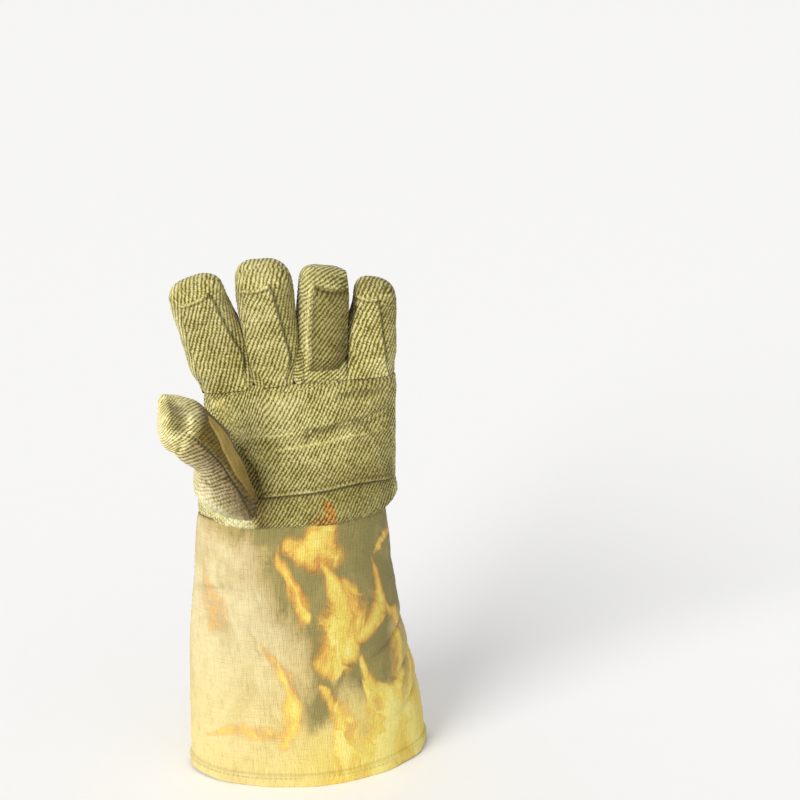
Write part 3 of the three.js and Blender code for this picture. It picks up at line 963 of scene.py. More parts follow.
class Recipe:
    """The nodes of one material."""

    def __init__(self, name):
        self.material = bpy.data.materials.new(name)
        self.material.use_nodes = True
        self.tree = self.material.node_tree
        self.tree.nodes.clear()

    def node(self, kind, settings=None, values=(), output=0):
        """Adds a node: its settings first, then its sockets' values or links. Returns one of its outputs."""
        made = self.tree.nodes.new(kind)
        for name, value in (settings or {}).items():
            if name == "stops":
                self.set_stops(made.color_ramp, value)
            else:
                setattr(made, name, value)
        pairs = values.items() if isinstance(values, dict) else enumerate(values)
        for name, value in pairs:
            socket = made.inputs[name]
            if isinstance(value, Number):
                self.tree.links.new(value.socket, socket)
            elif socket.type == "RGBA" and len(value) == 3:
                socket.default_value = (*value, 1.0)
            else:
                socket.default_value = value
        return Number(self, made.outputs[output]) if made.outputs else None

    def set_stops(self, ramp, stops):
        """Gives a colour ramp its stops, each a place from 0 to 1 and a colour."""
        while len(ramp.elements) < len(stops):
            ramp.elements.new(1.0)
        for element, (place, colour) in zip(ramp.elements, stops):
            element.position = place
            element.color = (*colour, 1.0)

    def mix(self, factor, first, second, blend="MIX"):
        """A mix of two colours. They are inputs 6 and 7 of a Mix node, and the mix is its output 2."""
        settings = {"data_type": "RGBA", "blend_type": blend, "clamp_factor": True}
        return self.node("ShaderNodeMix", settings, {0: factor, 6: first, 7: second}, 2)

    def noise(self, vector, scale, detail=2.0, roughness=0.5, distortion=0.0):
        """Soft noise in space, `scale` lumps to the vector's unit."""
        values = {"Vector": vector, "Scale": scale, "Detail": detail}
        values.update({"Roughness": roughness, "Distortion": distortion})
        return self.node("ShaderNodeTexNoise", None, values)

    def cloth(self):
        """The two numbers of the piece's UV map."""
        place = self.node("ShaderNodeUVMap", {"uv_map": "cloth"})
        first = self.node("ShaderNodeSeparateXYZ", None, (place,), 0)
        second = self.node("ShaderNodeSeparateXYZ", None, (place,), 1)
        return first, second

    def threads(self, first, second, across, along, roughness, detail=3.0, distortion=0.0):
        """Noise on the two cloth numbers, drawn out by scaling each."""
        place = self.node("ShaderNodeCombineXYZ", None, (first * across, second * along, 0.0))
        return self.noise(place, 1.0, detail, roughness, distortion)

    def objects(self):
        """Places on the object, in metres."""
        return self.node("ShaderNodeTexCoord", None, (), OBJECT_PLACE)

    def attribute(self, name, output):
        """What the mesh holds at each point under that name."""
        return self.node("ShaderNodeAttribute", {"attribute_name": name}, (), output)

    def finish(self, colour, roughness, height, depth, sheen=0.0):
        """The surface: its colour, roughness and a relief `depth` metres high."""
        normal = self.node("ShaderNodeBump", None, {"Strength": 1.0, "Distance": depth, "Height": height})
        values = {"Base Color": colour, "Roughness": roughness, "Normal": normal, "Sheen Weight": sheen,
                  "Sheen Roughness": 0.4, "Specular IOR Level": 0.25}
        surface = self.node("ShaderNodeBsdfPrincipled", None, values)
        self.node("ShaderNodeOutputMaterial", None, {"Surface": surface})
        return self.material


def tinted(recipe, colour):
    """A colour multiplied by the piece's tint and darkened with painted shade in its hollows, seams and
    creases.
    """
    colour = recipe.mix(1.0, colour, recipe.attribute("tint", COLOUR), "MULTIPLY")
    return recipe.mix(recipe.attribute("tint", ALPHA), colour, TWILL_PAINTED_SHADE)


def twill_cloth(name, colours):
    """Heavy twill: broken ribs of soft yarn with dark dashes between them, counted by the UV map.

    The attribute "extra" says how far a folded edge smooths the ribs away.
    """
    recipe = Recipe(name)
    across, along = recipe.cloth()
    places = recipe.objects()
    plain = recipe.attribute("extra", NUMBER)
    ribs = across + (recipe.noise(places, 120.0) - 0.5) * 0.9 + (recipe.noise(places, 420.0) - 0.5) * 0.35
    within = ribs.math("FRACT")
    rib = (within * math.pi).math("SINE") * (1 - plain) + plain * 0.8
    number = ribs.math("FLOOR")
    gap = (ribs + 0.5).math("FLOOR")
    yarn = recipe.threads(number, along, 5.31, 0.5, 0.7)
    dash = recipe.threads(gap, along, 3.77, 0.36, 0.7).between(0.4, 0.6)
    strand = (along * (math.tau / 2.1) + within * 3.5 + yarn * 6.0).math("SINE")
    fibres = recipe.threads(across, along, 6.0, 1.7, 0.7)
    patches = recipe.noise(places, 55.0, 3.0, 0.6)
    broad = recipe.noise(places, 13.0, 3.0, 0.55)

    # The ribs' tops get a painted highlight and the dashes between them painted shade; the yarn, fibres,
    # patches and broad terms are the cloth's own tone.
    tone = 0.34 + rib * rib * 0.32 + (yarn - 0.5) * 1.1 + (fibres - 0.5) * 0.7 + strand * 0.1
    tone = tone - (1 - rib) * dash * 0.36 + (patches - 0.5) * 0.6 + (broad - 0.5) * 0.5
    deep, body, light = [
        tuple(colour) for colour in (colours.twill_deep, colours.twill, colours.twill_light)]
    stops = ((0.0, tuple(part * 0.6 for part in deep)), (0.2, deep), (0.52, body), (0.9, light))
    cloth = recipe.node("ShaderNodeValToRGB", {"stops": stops}, (tone,))
    height = rib * 0.7 + yarn * 0.6 + fibres * 0.3 + strand * 0.07 - dash * (1 - rib) * 0.2
    return recipe.finish(tinted(recipe, cloth), 0.92, height, 0.0009, 0.25)


def smooth_cloth(name, base, light):
    """The thumb's smooth cloth: fine close twill, rubbed."""
    recipe = Recipe(name)
    across, along = recipe.cloth()
    places = recipe.objects()
    ribs = ((across * 3.0 + recipe.noise(places, 140.0) * 1.6) * math.pi).math("SINE").math("ABSOLUTE")
    fibres = recipe.threads(across, along, 5.0, 0.7, 0.65, 4.0)
    grain = recipe.noise(places, 700.0, 3.0, 0.65)
    blotches = recipe.noise(places, 60.0, 3.0)
    streaks = recipe.threads(across, along, 1.6, 0.05, 0.6)
    # The ribs' term lightens their crests, a faint painted highlight; the fibres, grain and streaks are the
    # cloth's own tone.
    body = fibres.between(0.3, 0.75) * 0.5 + ribs * 0.15 + (grain - 0.5) * 0.5 + (streaks - 0.5) * 1.4
    body = recipe.mix(body, base, light)
    body = recipe.mix(blotches.between(0.4, 0.7) * 0.4, body, BLOTCHES, "MULTIPLY")
    return recipe.finish(tinted(recipe, body), 0.95, fibres * 0.6 + ribs * 0.3 + grain * 0.4, 0.0005)


def printed_cloth(name, colours, pitch):
    """The cuff: plain cloth with slubs in its threads, printed with flames.

    The attribute "extra" holds the pale wash of the print, and the tint's red and green hold the tongues of
    flame and how yellow the wash is.
    """
    recipe = Recipe(name)
    around, up = recipe.cloth()
    places = recipe.objects()
    warp = ((around / pitch) * math.pi + recipe.noise(places, 120.0) * 3.0).math("SINE")
    weft = ((up / pitch) * math.pi + recipe.noise(places, 110.0) * 3.0).math("SINE")
    checks = warp * weft
    weave = warp.math("ABSOLUTE") * (0.5 + 0.5 * checks) + weft.math("ABSOLUTE") * (0.5 - 0.5 * checks)
    slubs = recipe.threads(around, up, 0.75, 0.07, 0.62)
    bars = recipe.threads(around, up, 0.08, 0.8, 0.62)
    grain = recipe.noise(places, 800.0, 2.0, 0.6)
    clouds = recipe.noise(places, 22.0, 4.0, 0.6)
    curl = recipe.threads(around, up, 0.03, 0.02, 0.55, distortion=0.5)

    def curled(across, along, push_across, push_along, roughness, distortion, level=0.0):
        """Noise on the cloth, pushed about by the curls."""
        parts = (around * across + curl * push_across, up * along + curl * push_along, level)
        place = recipe.node("ShaderNodeCombineXYZ", None, parts)
        return recipe.noise(place, 1.0, 4.0, roughness, distortion)

    wisps = curled(0.06, 0.024, 5.0, 3.0, 0.6, 0.6)
    veins = curled(0.13, 0.045, 6.0, 4.0, 0.6, 1.2)
    smoke = curled(0.045, 0.022, 3.0, 2.0, 0.55, 0.4, 7.0)
    print_parts = recipe.attribute("tint", COLOUR)
    fire, yellow = [recipe.node("ShaderNodeSeparateColor", None, (print_parts,), part) for part in (0, 1)]
    olive, tan, cream, pale, ember, orange, amber, gold, glow = [tuple(colour) for colour in (
        colours.cuff, colours.tan, colours.cream, colours.pale, colours.ember, colours.orange, colours.amber,
        colours.yellow, colours.glow)]

    wash = recipe.attribute("extra", NUMBER) + (wisps - 0.5) * 1.1 + (clouds - 0.5) * 0.7
    wash = wash + (slubs - 0.5) * 0.3 + (bars - 0.5) * 0.12
    stops = ((0.14, olive), (0.36, tan), (0.64, cream), (0.95, pale))
    body = recipe.node("ShaderNodeValToRGB", {"stops": stops}, (wash,))
    body = recipe.mix(yellow * wash.between(0.3, 0.75) * 0.9, body, gold)
    body = recipe.mix(smoke.between(0.48, 0.72) * 0.5, body, recipe.mix(yellow, tan, gold))

    folds = 1 - ((veins - 0.5) * 5.0).math("ABSOLUTE")
    flame = fire + ((wisps - 0.5) * 1.3 + (veins - 0.5) * 0.5) * fire.between(0.0, 0.4)
    hue = 0.16 + flame * 0.62 + (wisps - 0.5) * 0.9 - folds * 0.16 + yellow * 0.3
    stops = ((0.05, ember), (0.24, orange), (0.46, amber), (0.66, gold), (0.95, glow))
    burning = recipe.node("ShaderNodeValToRGB", {"stops": stops}, (hue,))
    body = recipe.mix(flame.between(0.12, 0.58) * 0.88, body, burning)

    # Painted shade in the gaps of the weave, with the darker thin parts of the slubs and bars, which are the
    # yarn's own, and random grain.
    shadow = (1 - weave) * 0.16 + (0.5 - slubs).between(0.0, 0.25) * 0.22
    shadow = shadow + (0.5 - bars).between(0.0, 0.25) * 0.14
    body = recipe.mix(shadow + (grain - 0.5) * 0.24, body, BETWEEN_THREADS, "MULTIPLY")
    # Painted shade in the seams and creases, held in the tint's alpha.
    colour = recipe.mix(recipe.attribute("tint", ALPHA), body, PRINT_PAINTED_SHADE)
    height = weave * 0.6 + slubs * 0.8 + bars * 0.6 + grain * 0.25
    return recipe.finish(colour, 0.88, height, 0.0006, 0.15)


def plain_cloth(name, base, fibre=300.0, depth=0.0006):
    """Felt or thread in one colour, with loose fibres."""
    recipe = Recipe(name)
    places = recipe.objects()
    fuzz = recipe.noise(places, fibre, 4.0, 0.7)
    lumps = recipe.noise(places, 40.0, 3.0)
    body = recipe.mix(fuzz.between(0.3, 0.7) * 0.45, base, tuple(part * 0.55 for part in base))
    body = recipe.mix(lumps.between(0.4, 0.7) * 0.3, body, tuple(part * 0.7 for part in base))
    return recipe.finish(body, 0.95, fuzz * 0.7 + lumps * 0.3, depth, 0.3)


def material(name, make, *values):
    """The material of that name, made the first time it is asked for."""
    found = bpy.data.materials.get(name)
    return found or make(name, *values)


def hand_twill(context):
    """The twill of the hand, the fingers and the thumb."""
    return material("heavy_twill", twill_cloth, context.scene.glove_colours)


def lining_felt(context):
    """The felt inside the glove."""
    return material("felt", plain_cloth, tuple(context.scene.glove_colours.felt))


# Pieces


def settle(piece, slot, *nodes):
    """Puts a finished piece on the glove, in place of the CAD's nodes where it stands for any."""
    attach(piece, "root")
    if nodes:
        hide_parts(*nodes)


def seam(distance, along, depth=1.0, width=1.3, pitch=4.2, pucker=0.25, dark=0.42):
    """A seam's furrow with small puckers beside it, as height and the painted shade in the furrow."""
    groove = bump(distance, width)
    tucks = np.cos(along * math.tau / pitch) * bump(abs(distance) - 2.4, 1.8)
    return -depth * groove + pucker * tucks, dark * groove


def uneven(sizes, points, *lumps):
    """The cloth's unevenness, from lumps that are each a height, a size and a seed."""
    return sizes.unevenness * sum(height * swell(points, size, seed) for height, size, seed in lumps)


def round_gap(around, place):
    """The distance round the cuff from a place on it, the short way."""
    return (around - place + CUFF_ROUND / 2) % CUFF_ROUND - CUFF_ROUND / 2


def print_wash(around, up):
    """How pale the print's wash is at places round and up the cuff."""
    place = np.stack(np.broadcast_arrays(around, 0.0, up * 0.6), -1)
    around = around + 14 * swell(place, 24, 81) + 6 * swell(place, 9, 82)
    up = up + 16 * swell(place, 20, 83) + 7 * swell(place, 8, 84)
    pale = np.zeros(place.shape[:-1])
    for middle, height, wide, tall, strength in WASH:
        gap = (round_gap(around, middle) / wide) ** 4 + ((up - height) / tall) ** 4
        pale = 1 - (1 - pale) * (1 - strength * np.exp(-gap / 2))
    return pale


def print_flames(around, up):
    """How strongly the tongues of flame burn at places round and up the cuff."""
    place = np.stack(np.broadcast_arrays(around, 0.0, up * 0.7), -1)
    around = around + 7 * swell(place, 17, 71) + 2.5 * swell(place, 8, 72)
    up = up + 6 * swell(place, 15, 74)
    burning = np.zeros(place.shape[:-1])
    for foot, bend, tip, wide, strength in FLAMES:
        for share in np.linspace(0, 1, 33):
            x, y = [(1 - share) ** 2 * a + 2 * share * (1 - share) * b + share**2 * c
                    for a, b, c in zip(foot, bend, tip)]
            size = wide * (1 - 0.88 * share**1.2) * min(1, 0.4 + 2 * share)
            gap = np.hypot(round_gap(around, x), (up - y) * 0.7)
            burning = np.maximum(burning, strength * (1 - step(0.0, 1.7, gap / size)))
    return burning


def cuff_creases(heights, degrees):
    """The creases in the cuff's dents, as height and painted shade."""
    height, painted_shade = 0, 0
    for at, about, depth, _, wide, slant in CUFF_DENTS:
        turned = (degrees - about + 180) % 360 - 180
        line = heights - at - slant * turned - 3.0 * np.sin(turned / 19)
        fade = bump(turned, wide * 1.05)
        height = height - 0.6 * depth * fade * bump(line, 2.1) + 0.3 * depth * fade * bump(line - 5.2, 3.0)
        painted_shade = painted_shade + 0.3 * fade * bump(line, 1.8) * (depth / 2.6)
    return height, painted_shade


def cuff_panel(sizes, start, end):
    """The palm's side or the back of the cuff, from its foot up to the wrist."""
    heights = np.linspace(0, WRIST_HEIGHT, int(WRIST_HEIGHT / CUFF_SPACING) + 1)[:, None]
    angles = even_angles(gaps_over(CUFF_ROUND / 2, CUFF_SPACING), start, end, *CUFF_FORM)
    base = cuff_points(heights, angles)
    around = from_middle(base)
    degrees = np.degrees(angles) + 0 * heights
    is_back = end > 0

    height = 1.0 - step(HEM_HEIGHT - 0.6, HEM_HEIGHT + 0.8, heights) + 0 * around
    from_hem = heights - HEM_HEIGHT - 0.4
    # The hem's and the wrist's furrows, with painted shade in them.
    hem, painted_shade = seam(from_hem, around, depth=0.45, width=0.9, pitch=4.0, pucker=0.2, dark=0.22)
    wrist, dark = seam(WRIST_HEIGHT - heights, around, depth=0.7, width=1.2, pitch=6.0, pucker=0.3, dark=0.3)
    height, painted_shade = height + hem + wrist, painted_shade + dark
    gathers = np.stack(np.broadcast_arrays(around, 40.0 * is_back, heights * 0.12), -1)
    height = height + 0.6 * np.exp(-(WRIST_HEIGHT - heights) / 16) * swell(gathers, 6, 41)
    height = height + 0.5 * np.exp(-heights / 14) * swell(gathers, 14, 43)
    height = height + uneven(sizes, base, (1.1, 38, 7), (0.5, 13, 8), (0.16, 4, 9))
    creases, dark = cuff_creases(heights, degrees)
    height, painted_shade = height + creases, painted_shade + dark
    for side in SIDES:
        gap = (degrees - side) * CUFF_DEGREE
        side_seam, dark = seam(gap, heights, depth=0.6, width=1.2, pitch=4.4, pucker=0.15)
        height, painted_shade = height + side_seam, painted_shade + dark * 0.6
    points = base + facing(base) * height[..., None]
    points[0, :, 2] = base[0, :, 2]

    placed = around + (CUFF_ROUND / 2 if is_back else 0)
    print_parts = np.zeros((*around.shape, 4))
    print_parts[..., 0] = print_flames(placed, heights)
    print_parts[..., 1] = np.clip(1.15 - heights / 110, 0, 1) * (0.35 + 0.65 * step(-60, 60, around))
    # The alpha carries the painted shade of the seams and creases.
    print_parts[..., 3] = np.clip(painted_shade, 0, 1)
    cloth = np.stack([placed, heights + 0 * around], -1)
    return points, cloth, print_parts, print_wash(placed, heights)


def make_cuff(context):
    """The flared cuff with its hem and its lining."""
    sizes = context.scene.glove_cloth
    above_hem = np.linspace(16, WRIST_HEIGHT, 24)
    heights = np.array([0, 1.2, HEM_HEIGHT - 0.6, HEM_HEIGHT + 0.6, *above_hem])[:, None]
    grow = np.where(heights < HEM_HEIGHT, -HEM_WALL, -CUFF_WALL) + 0.7 * (heights < 0.5)

    def lining(columns, start, end):
        return cuff_points(heights, even_angles(columns, start, end, *CUFF_FORM), grow)

    printed = material("flame_print", printed_cloth, context.scene.glove_colours, sizes.weave_pitch)
    mesh = cloth_tube(partial(cuff_panel, sizes), lining)
    settle(mesh.make("cuff_cloth", [printed, lining_felt(context)]), "cuff_cloth", "cuff", "cuff_hem")


def below_hem(points):
    """1 on the plain pale cloth under the thumb and 0 elsewhere, with a soft edge."""
    under = height_on(THUMB_HEM, points[..., 0]) - points[..., 2] + swell(points, 5, 55)
    return step(-1.5, 2.5, under) * step(-8, 4, -points[..., 1])


def thumb_shadow(points):
    """How much the thumb shades the palm beside it."""
    across, up = points[..., 0], points[..., 2]
    return bump(line_distance(across, up, THUMB_SHADE), 6.5) * (1 - step(236, 268, up) * 0.8)


def hand_tint(base, up, painted_shade, pale, is_front):
    """The hand's colours: pale under the thumb, darkened on the palm with painted shade and the thumb's
    painted shadow, with painted shade under the patch's foot, and printed at the wrist.
    """
    tint = shade(up.shape, painted_shade * (1 - 0.5 * pale), (1.26, 1.3, 1.9), pale)
    facing_front = step(0, 10, -base[..., 1])
    # Painted shade low on the palm's front, right of the thumb, growing to the right and fading out higher
    # up.
    wear_and_painted_shade = (0.3 + 0.14 * step(-20, 40, base[..., 0])) * step(-36, -24, base[..., 0]) * facing_front
    darken(tint, wear_and_painted_shade * (1 - step(28, 50, up)), 0.95, 1.0, 1.35)
    darken(tint, thumb_shadow(base) * facing_front, 0.5, 0.57, 0.7)
    if is_front:
        middle = base.shape[1] // 2
        burnt = print_flames(base[..., 0] - base[:1, middle:middle + 1, 0], base[..., 2])
        darken(tint, step(0.0, 0.6, burnt), -0.35, 0.26, 0.6)
    # Painted shade under the palm patch's folded foot.
    under_patch = line_value(PATCH_FOOT, base[..., 0]) - base[..., 2]
    tint[..., 3] = np.clip(tint[..., 3] + 0.8 * facing_front * bump(under_patch, 1.3), 0, 1)
    return tint


def hand_panel(sizes, start, end):
    """The front or the back of the hand, from the wrist to the knuckles."""
    rises = np.linspace(0, 1, int(HAND_RISE / sizes.spacing) + 1)[:, None]
    angles = even_angles(gaps_over(HAND_ROUND, sizes.spacing), start, end, *HAND_FORM)
    base = hand_points(rises, angles)
    around = from_middle(base)
    up = HAND_RISE * rises + 0 * around
    degrees = np.degrees(angles) + 0 * rises
    is_front = end <= 0
    flat = 0.6 * step(-10, 25, base[..., 0]) * is_front
    laid = around * (1 - flat) + base[..., 0] * flat
    turn, begin = (61, 0.0) if is_front else (53, 200.0)
    cloth = laid_cloth(base, base.shape[1] // 2, turn, sizes.twill_pitch, begin, laid)

    # The seams' furrows, with painted shade in them.
    height, painted_shade = seam(up, around, width=1.5, pitch=5.0, pucker=0.3, dark=0.5)
    top, dark = seam(HAND_RISE - up, around, depth=0.7, pitch=5.0, dark=0.24)
    height, painted_shade = height + top, painted_shade + dark
    for side in SIDES:
        gap = (degrees - side) * HAND_DEGREE
        side_seam, dark = seam(gap, up, depth=0.8, width=1.2, pitch=4.4, pucker=0.2)
        height, painted_shade = height + side_seam, painted_shade + dark
    gathers = swell(np.stack(np.broadcast_arrays(around, 0 * around, up * 0.15), -1), 5, 23)
    height = height + 0.5 * np.exp(-up / 9) * gathers
    height = height + 2.0 * bump(up - 7, 5) * bump((degrees - 8) * HAND_DEGREE, 22)
    height = height + 0.8 * bump(degrees * HAND_DEGREE, 16) * step(4, 16, up)
    height = height + uneven(sizes, base, (0.9, 26, 3), (0.4, 9, 4))
    if not is_front:
        height = height + 0.9 * bump(up - 84, 13) * np.cos((base[..., 0] - 0.5) * math.tau / 34)
    height = height + sizes.twill_height * rib_height(cloth)
    sag = (1 - step(0, 14, up)) * step(-74, -52, base[..., 0]) * step(-4, 10, -base[..., 1])
    points = base + facing(base) * (height + 1.3 * sag)[..., None]
    points[..., 2] -= 3.8 * sag
    pale = below_hem(base)
    return points, cloth, hand_tint(base, up, painted_shade, pale, is_front), 0.85 * pale


def make_hand(context):
    """The hand's front and back with their lining."""
    def lining(columns, start, end):
        rises = np.linspace(0, 1, 20)[:, None]
        return hand_points(rises, even_angles(columns, start, end, *HAND_FORM), -HAND_WALL)

    mesh = cloth_tube(partial(hand_panel, context.scene.glove_cloth), lining)
    settle(mesh.make("hand_cloth", [hand_twill(context), lining_felt(context)]), "hand_twill", "hand")


def palm_points(columns, rows, grow):
    """Points of the palm patch's face, from its foot to its top and from its left edge to the side seam."""
    climb = np.linspace(0, 1, rows + 1)[:, None]
    rise = PATCH_SPAN[0] + (PATCH_SPAN[1] - PATCH_SPAN[0]) * climb
    x, half_width, _, _, _ = smooth_rows(HAND_SECTIONS, rise)
    left = np.clip((line_value(PATCH_LEFT, rise) - x) / half_width, -1, 1)
    fine = even_angles(2000, -180, -22, *HAND_FORM)[0]
    sides = rounded(fine, PATCH_SQUARENESS)[0]
    start = np.interp(left[:, 0], sides, np.linspace(0, 1, len(fine)))[:, None]
    place = start + (1 - start) * np.linspace(0, 1, columns + 1)[None, :]
    angle = np.interp(place, np.linspace(0, 1, len(fine)), fine)
    across = x + half_width * rounded(angle, PATCH_SQUARENESS)[0]
    height = line_value(PATCH_FOOT, across) * (1 - climb) + line_value(PATCH_TOP, across) * climb
    rise = (height - WRIST_HEIGHT) / (knuckle_height(across) - WRIST_HEIGHT)
    base = hand_points(rise, angle)
    base[..., 1] -= 0.12 * np.clip(rise - 1, 0, 1) * HAND_RISE
    return base + facing(base) * grow


def edge_distances(points):
    """The distances of a patch's points from its foot, top, left and right edges."""
    up, around = lengths(points, 0), lengths(points, 1)
    return up, up[-1:] - up, around, around[:, -1:] - around


def palm_creases(base):
    """The lines across the palm patch: height, painted shade, how far they smooth the ribs, and a painted
    highlight on the raised lines.
    """
    height, painted_shade, smoothed, light = 0, 0, 0, 0
    for number, (depth, width, dark, plain, line) in enumerate(PALM_LINES):
        gap = line_distance(base[..., 0], base[..., 2] + 0.7 * swell(base, 12, 31 + number), line)
        height = height - depth * bump(gap, width) + 0.35 * bump(gap - width - 1.6, 1.6)
        painted_shade = painted_shade + 1.3 * dark * bump(gap, width * 0.9)
        smoothed = np.maximum(smoothed, plain * bump(gap, width))
        # A painted highlight on the raised lines.
        light = np.maximum(light, bump(gap, width) * (depth < 0))
    return height, painted_shade, smoothed, light


def make_palm_patch(context):
    """The palm's second layer of twill, folded under along its foot."""
    sizes = context.scene.glove_cloth
    columns, rows = [gaps_over(size, sizes.spacing) for size in PATCH_SIZE]
    base = palm_points(columns, rows, 0.0)
    foot, top, left, right = edge_distances(base)
    across, up = base[..., 0], base[..., 2]
    turn = 54
    cloth = laid_cloth(base, columns // 2, turn, sizes.twill_pitch, 0.0, 60 - right)
    cloth[..., 0] += 0.28 * above(up - 266, 12) * math.cos(math.radians(turn)) / sizes.twill_pitch

    edge = np.minimum(np.minimum(foot * 1.3, top * 1.1), np.minimum(left, right))
    height = -0.7 + 1.9 * step(0, 1.8, edge)
    roll = bump(foot - 2.3, 1.1) * step(0, 4, right)
    beads = 0.85 + 0.15 * np.cos(left * math.tau / 3.1 + 2 * swell(base, 9, 33))
    height = height + 0.9 * roll * beads - 0.7 * bump(foot - 4.3, 0.8)
    # Painted shade in the stitch groove, along the edges and under the folded foot.
    painted_shade = 0.3 * bump(foot - 4.3, 0.7) + 0.45 * (1 - step(0, 1.2, edge)) + 0.9 * (1 - step(0.4, 1.3, foot))
    height = height + 0.6 * bump(top - 5.5, 3.6) + 1.6 * bump(foot - 5, 5) * bump(right - 3, 16)
    creases, dark, smoothed, light = palm_creases(base)
    height, painted_shade = height + creases, painted_shade + dark
    height = height - 0.5 * bump(right - 1.0, 1.2)
    # Painted shade in the dip along the right edge.
    painted_shade = painted_shade + 0.3 * bump(right - 1.0, 1.2)
    height = height + uneven(sizes, base, (0.9, 26, 3), (0.6, 9, 4))
    height = height + sizes.twill_height * rib_height(cloth) * step(0, 2.0, edge) * (1 - 0.6 * roll)

    tint = shade(foot.shape, painted_shade, (0.98, 0.97, 1.05), 0.8 * roll)
    # Painted shade, darker towards the right and low in the middle.
    wear_and_painted_shade = 0.02 + 0.2 * step(-20, 66, across) + 0.34 * (1 - step(224, 250, up)) * step(-30, 20, across)
    darken(tint, wear_and_painted_shade * (1 - 0.5 * roll), 0.9, 1.0, 1.3)
    # A painted highlight on the raised lines.
    darken(tint, light, -0.3, -0.3, -0.4)
    darken(tint, thumb_shadow(base), 0.5, 0.57, 0.7)
    mesh = ClothMesh()
    outer = mesh.grid(base + facing(base) * height[..., None], cloth, tint, np.maximum(0.7 * roll, smoothed))
    add_back(mesh, outer, palm_points(columns // COARSE, rows // COARSE, -0.9))
    settle(mesh.make("palm_patch_cloth", [hand_twill(context)]), "palm_twill", "palm_patch")


def even_shares(points_at, start, end, count):
    """Shares of a tube's length, one to a row, evenly spaced along its side and over its tip."""
    fine = start + (end - start) * (1 - (1 - np.linspace(0, 1, 3000)) ** 3)
    rim = points_at(fine[:, None], np.array([[math.radians(-90), 0.0]]))
    travelled = lengths(rim, 0).mean(1)
    return np.interp(np.linspace(0, travelled[-1], count + 1), travelled, fine)[:, None]


def finger_shares(name, end, count):
    """Shares of a finger's length, from just under its foot."""
    return even_shares(lambda share, angle: finger_points(name, share, angle), -0.02, end, count)


def strip_edges(name, share):
    """The angles of a strip's left and right edges at a share of its finger's length."""
    left_foot, left_top, right_foot, right_top = STRIPS[name][:4]
    left = np.interp(share, (left_foot[0], left_top[0]), (left_foot[1], left_top[1]))
    right = np.interp(share, (right_foot[0], right_top[0]), (right_foot[1], right_top[1]))
    return left, right


def strip_ends(name, over):
    """The finger's shares at a strip's foot and top, where `over` is 0 at its left and 1 at its right."""
    left_foot, left_top, right_foot, right_top = STRIPS[name][:4]
    return left_foot[0] * (1 - over) + right_foot[0] * over, left_top[0] * (1 - over) + right_top[0] * over


def finger_swell(seed, sizes, base):
    """The unevenness that a finger and its strip share."""
    return uneven(sizes, base, (0.8, 18, seed), (0.4, 7, seed + 1))


def finger_cloth(name, seed, pitch, base, shares, around, is_front):
    """The UV map of a finger's twill: flat across the finger, and bent over its tip."""
    middle, turn = base.shape[1] // 2, FINGER_RIBS[name]
    place, over, back, _ = finger_line(name, shares)
    offset = ((base - place) * over).sum(-1) * (1 if is_front else -1)
    in_cap = step(0.8, 0.97, shares)
    cloth = laid_cloth(base, middle, turn, pitch, 4.0 * seed, offset + (around - offset) * (1 - in_cap))
    behind = ((base - place) * back).sum(-1)
    behind = abs(behind[:, middle:middle + 1]) - abs(behind)
    cloth[..., 0] -= in_cap * behind * math.cos(math.radians(turn)) / pitch
    return cloth


def strip_bed(name, seed, base, shares, around, degrees):
    """A finger's front under and beside its strip: height, painted shade, the ridge on its left that gets a
    painted highlight, and painted shade on its right.
    """
    length, left_ridge = FINGERS[name][3], STRIPS[name][5]
    left, right = strip_edges(name, shares)
    top = (STRIPS[name][1][0] + STRIPS[name][3][0]) / 2
    below_top = (1 - step(top - 0.01, top + 0.03, shares)) * step(0.08, 0.2, shares)
    left_gap, right_gap = round_tube(left - degrees), round_tube(degrees - right)
    ridge = below_top * bump(left_gap - 1.7, 1.4)
    height = left_ridge * ridge - below_top * (0.3 * bump(left_gap, 0.8) + 1.0 * bump(right_gap - 0.5, 1.3))
    # Painted shade in the grooves beside the strip's edges.
    painted_shade = below_top * (0.25 * bump(left_gap, 0.9) + 0.6 * bump(right_gap - 0.3, 1.0))
    foot, head = strip_ends(name, np.clip((degrees - left) / (right - left), 0, 1))
    inside = step(0.4, 1.6, -left_gap) * step(0.4, 1.6, -right_gap)
    inside = inside * step(0.5, 2.0, (head - shares) * length) * step(-2.0, 1.0, (shares - foot) * length)
    beyond = (shares - top) * length
    gathers = np.cos(around * math.tau / 4.6 + 2 * swell(base, 14, seed + 5))
    height = height - 1.3 * inside + 0.4 * gathers * step(-2, 3, beyond) * (1 - step(9, 20, beyond))
    return height, painted_shade, ridge * (left_ridge > 1), SIDE_SHADE[name] * step(0, 4, right_gap) * below_top


